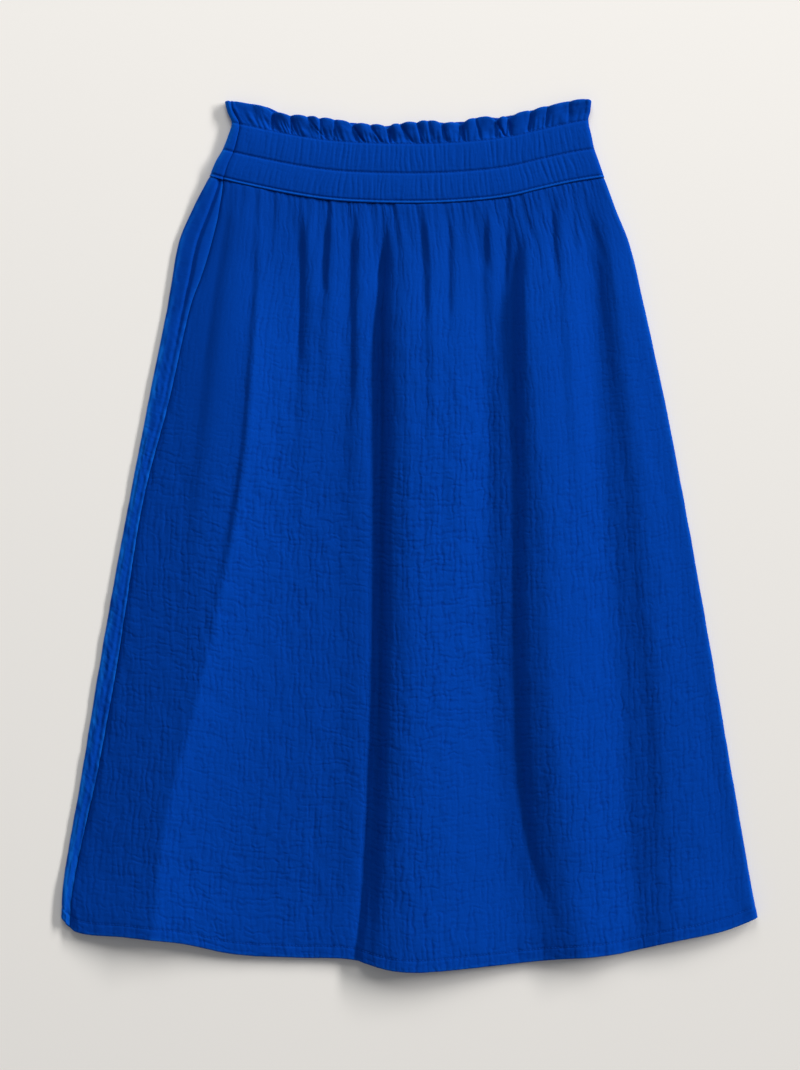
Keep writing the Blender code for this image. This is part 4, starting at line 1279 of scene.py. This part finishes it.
def backBand():
    up = bandRows()[:, None]
    left, right = sidesOf(bandSides, up / form["bandTall"])
    start, end = right - form["rightSeam"] - form["seamGap"], left + form["roll"]
    share = np.linspace(0.0, 1.0, band["backColumns"])[None, :]
    x = start + (end - start) * share
    waves = band["backWaves"]
    rng = np.random.default_rng(waves["seed"])
    widths = 1.0 + rng.uniform(-waves["uneven"], waves["uneven"], waves["count"])
    places = np.cumsum(widths)[:-1] / widths.sum()
    cuts = rng.uniform(*waves["cut"], len(places))
    marks = np.stack([places, cuts, np.full(len(places), waves["depth"])], axis=1)
    depth, cut = ruffles(share, up, marks)
    puckers = band["ribDepth"] * ribbing(share, up, band["backRibs"], 95)
    z = 0.0003 + depth * headerShare(up) + 0.5 * (puckers + stitchGrooves(up))
    z = z + 0.0010 * np.exp(-up / 0.0004)
    height = bandTop(up, 0.0) + band["crown"] * np.minimum(channels(up)[0], 1.0) - stitchGrooves(up)
    foldX, foldZ = sideFold(left, -1.0, height)
    stop = left + bandInset(up) - form["seamGap"] / 2
    stripX = end + (stop - end) * np.linspace(0.0, 1.0, band["stripColumns"] + 1)[None, 1:]
    stripZ = height - band["seamDip"] * np.exp(-(stop - stripX) / band["seamWidth"])
    x = np.concatenate([x, foldX, stripX], axis=1)
    z = np.concatenate([z, foldZ, stripZ], axis=1)
    # painted highlight along the left fold
    paintedHighlightMask = 0.6 * bell(x - left, 0.0030) * (z > 0.0020)
    sewn = (band["backColumns"] + form["foldColumns"] - 3, x.shape[1] - 1)
    return dressBand("waistbandBack", x, z, up, cut, paintedHighlightMask, 700, (0.0015, 0.6), sewn)


front = frontPanel()
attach(front, "root")
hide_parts("front_panel")
back = backPanel()
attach(back, "root")
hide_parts("back_panel")
print("panels made:", len(front.data.polygons), len(back.data.polygons))

bandFront = frontBand()
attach(bandFront, "root")
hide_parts("waistband_front")
bandBack = backBand()
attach(bandBack, "root")
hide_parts("waistband_back")
print("waistband made:", len(bandFront.data.polygons), len(bandBack.data.polygons))

stitches = stitchMesh("stitching", sewingThread)
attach(stitches, "root")
print("stitches made:", len(stitches.data.polygons))


# floor, light and camera

studio = {
    "floor": "#ECEBE7",
    "floorHalf": 6.0,
    "floorDrop": 0.0002,  # just under the cloth, so that the two never share a plane
    "fill": 0.268,
    "fillColour": "#F3F4F7",
}
lamps = (
    # a long strip light low on the right, parallel to the skirt, rakes the folds: it is narrow
    # across them and long beside them, so their shade has an edge and the hem's has none
    {
        "name": "stripLight", "watts": 4600.0, "colour": "#FFFBF8", "size": (1.8, 15.0),
        "at": (12.6, 9.6, 5.4), "turn": (0.0, 66.8, 0.0),
    },
    # a softbox beyond the waist end
    {
        "name": "softbox", "watts": 56.0, "colour": "#FFFDFC", "size": (2.0, 2.0),
        "at": (0.0, 2.90, 1.88), "turn": (-57.0, 0.0, 0.0),
    },
)


def makeFloor():
    material, tree, shader = newMaterial("paintedBoard")
    grain = node(tree, "ShaderNodeTexNoise", (-300, 0), scale=40.0, detail=3.0)
    bump = node(
        tree, "ShaderNodeBump", (0, -100), [("Height", grain.outputs["Fac"])],
        strength=0.03, distance=0.001,
    )
    wire(tree, shader, [
        ("Normal", bump.outputs[0]),
        ("Base Color", srgb(studio["floor"])),
        ("Roughness", 0.9),
        ("Specular IOR Level", 0.1),
    ])
    mesh = bpy.data.meshes.new("floor")
    half = studio["floorHalf"]
    signs = ((-1, -1), (1, -1), (1, 1), (-1, 1))
    corners = [(half * a, half * b, -studio["floorDrop"]) for a, b in signs]
    mesh.from_pydata(corners, [], [(0, 1, 2, 3)])
    mesh.materials.append(material)
    floor = bpy.data.objects.new("floor", mesh)
    bpy.context.scene.collection.objects.link(floor)


def makeLamp(lamp):
    area = bpy.data.lights.new(lamp["name"], "AREA")
    area.shape = "RECTANGLE"
    area.size, area.size_y = lamp["size"]
    area.energy = lamp["watts"]
    area.color = srgb(lamp["colour"])[:3]
    holder = bpy.data.objects.new(lamp["name"], area)
    holder.location = lamp["at"]
    holder.rotation_euler = [math.radians(angle) for angle in lamp["turn"]]
    bpy.context.scene.collection.objects.link(holder)


def makeFill():
    world = bpy.data.worlds.new("studio")
    world.use_nodes = True
    sky = world.node_tree.nodes["Background"]
    sky.inputs[0].default_value = srgb(studio["fillColour"])
    sky.inputs[1].default_value = studio["fill"]
    bpy.context.scene.world = world


view = {
    "width": 800,
    "height": 1070,
    "metresPerPixel": 0.00092,
    "middle": (-0.0085, 0.0005),
    "distance": 2.6,
}


def makeCamera():
    camera = bpy.data.cameras.new("overhead")
    camera.sensor_fit = "AUTO"
    camera.sensor_width = 36.0
    tall = view["height"] * view["metresPerPixel"]
    camera.lens = camera.sensor_width * view["distance"] / tall
    holder = bpy.data.objects.new("overhead", camera)
    holder.location = (*view["middle"], view["distance"])
    bpy.context.scene.collection.objects.link(holder)
    bpy.context.scene.camera = holder


makeFloor()
for lamp in lamps:
    makeLamp(lamp)
makeFill()
makeCamera()
bpy.context.scene.view_settings.view_transform = "Standard"
print("studio made")
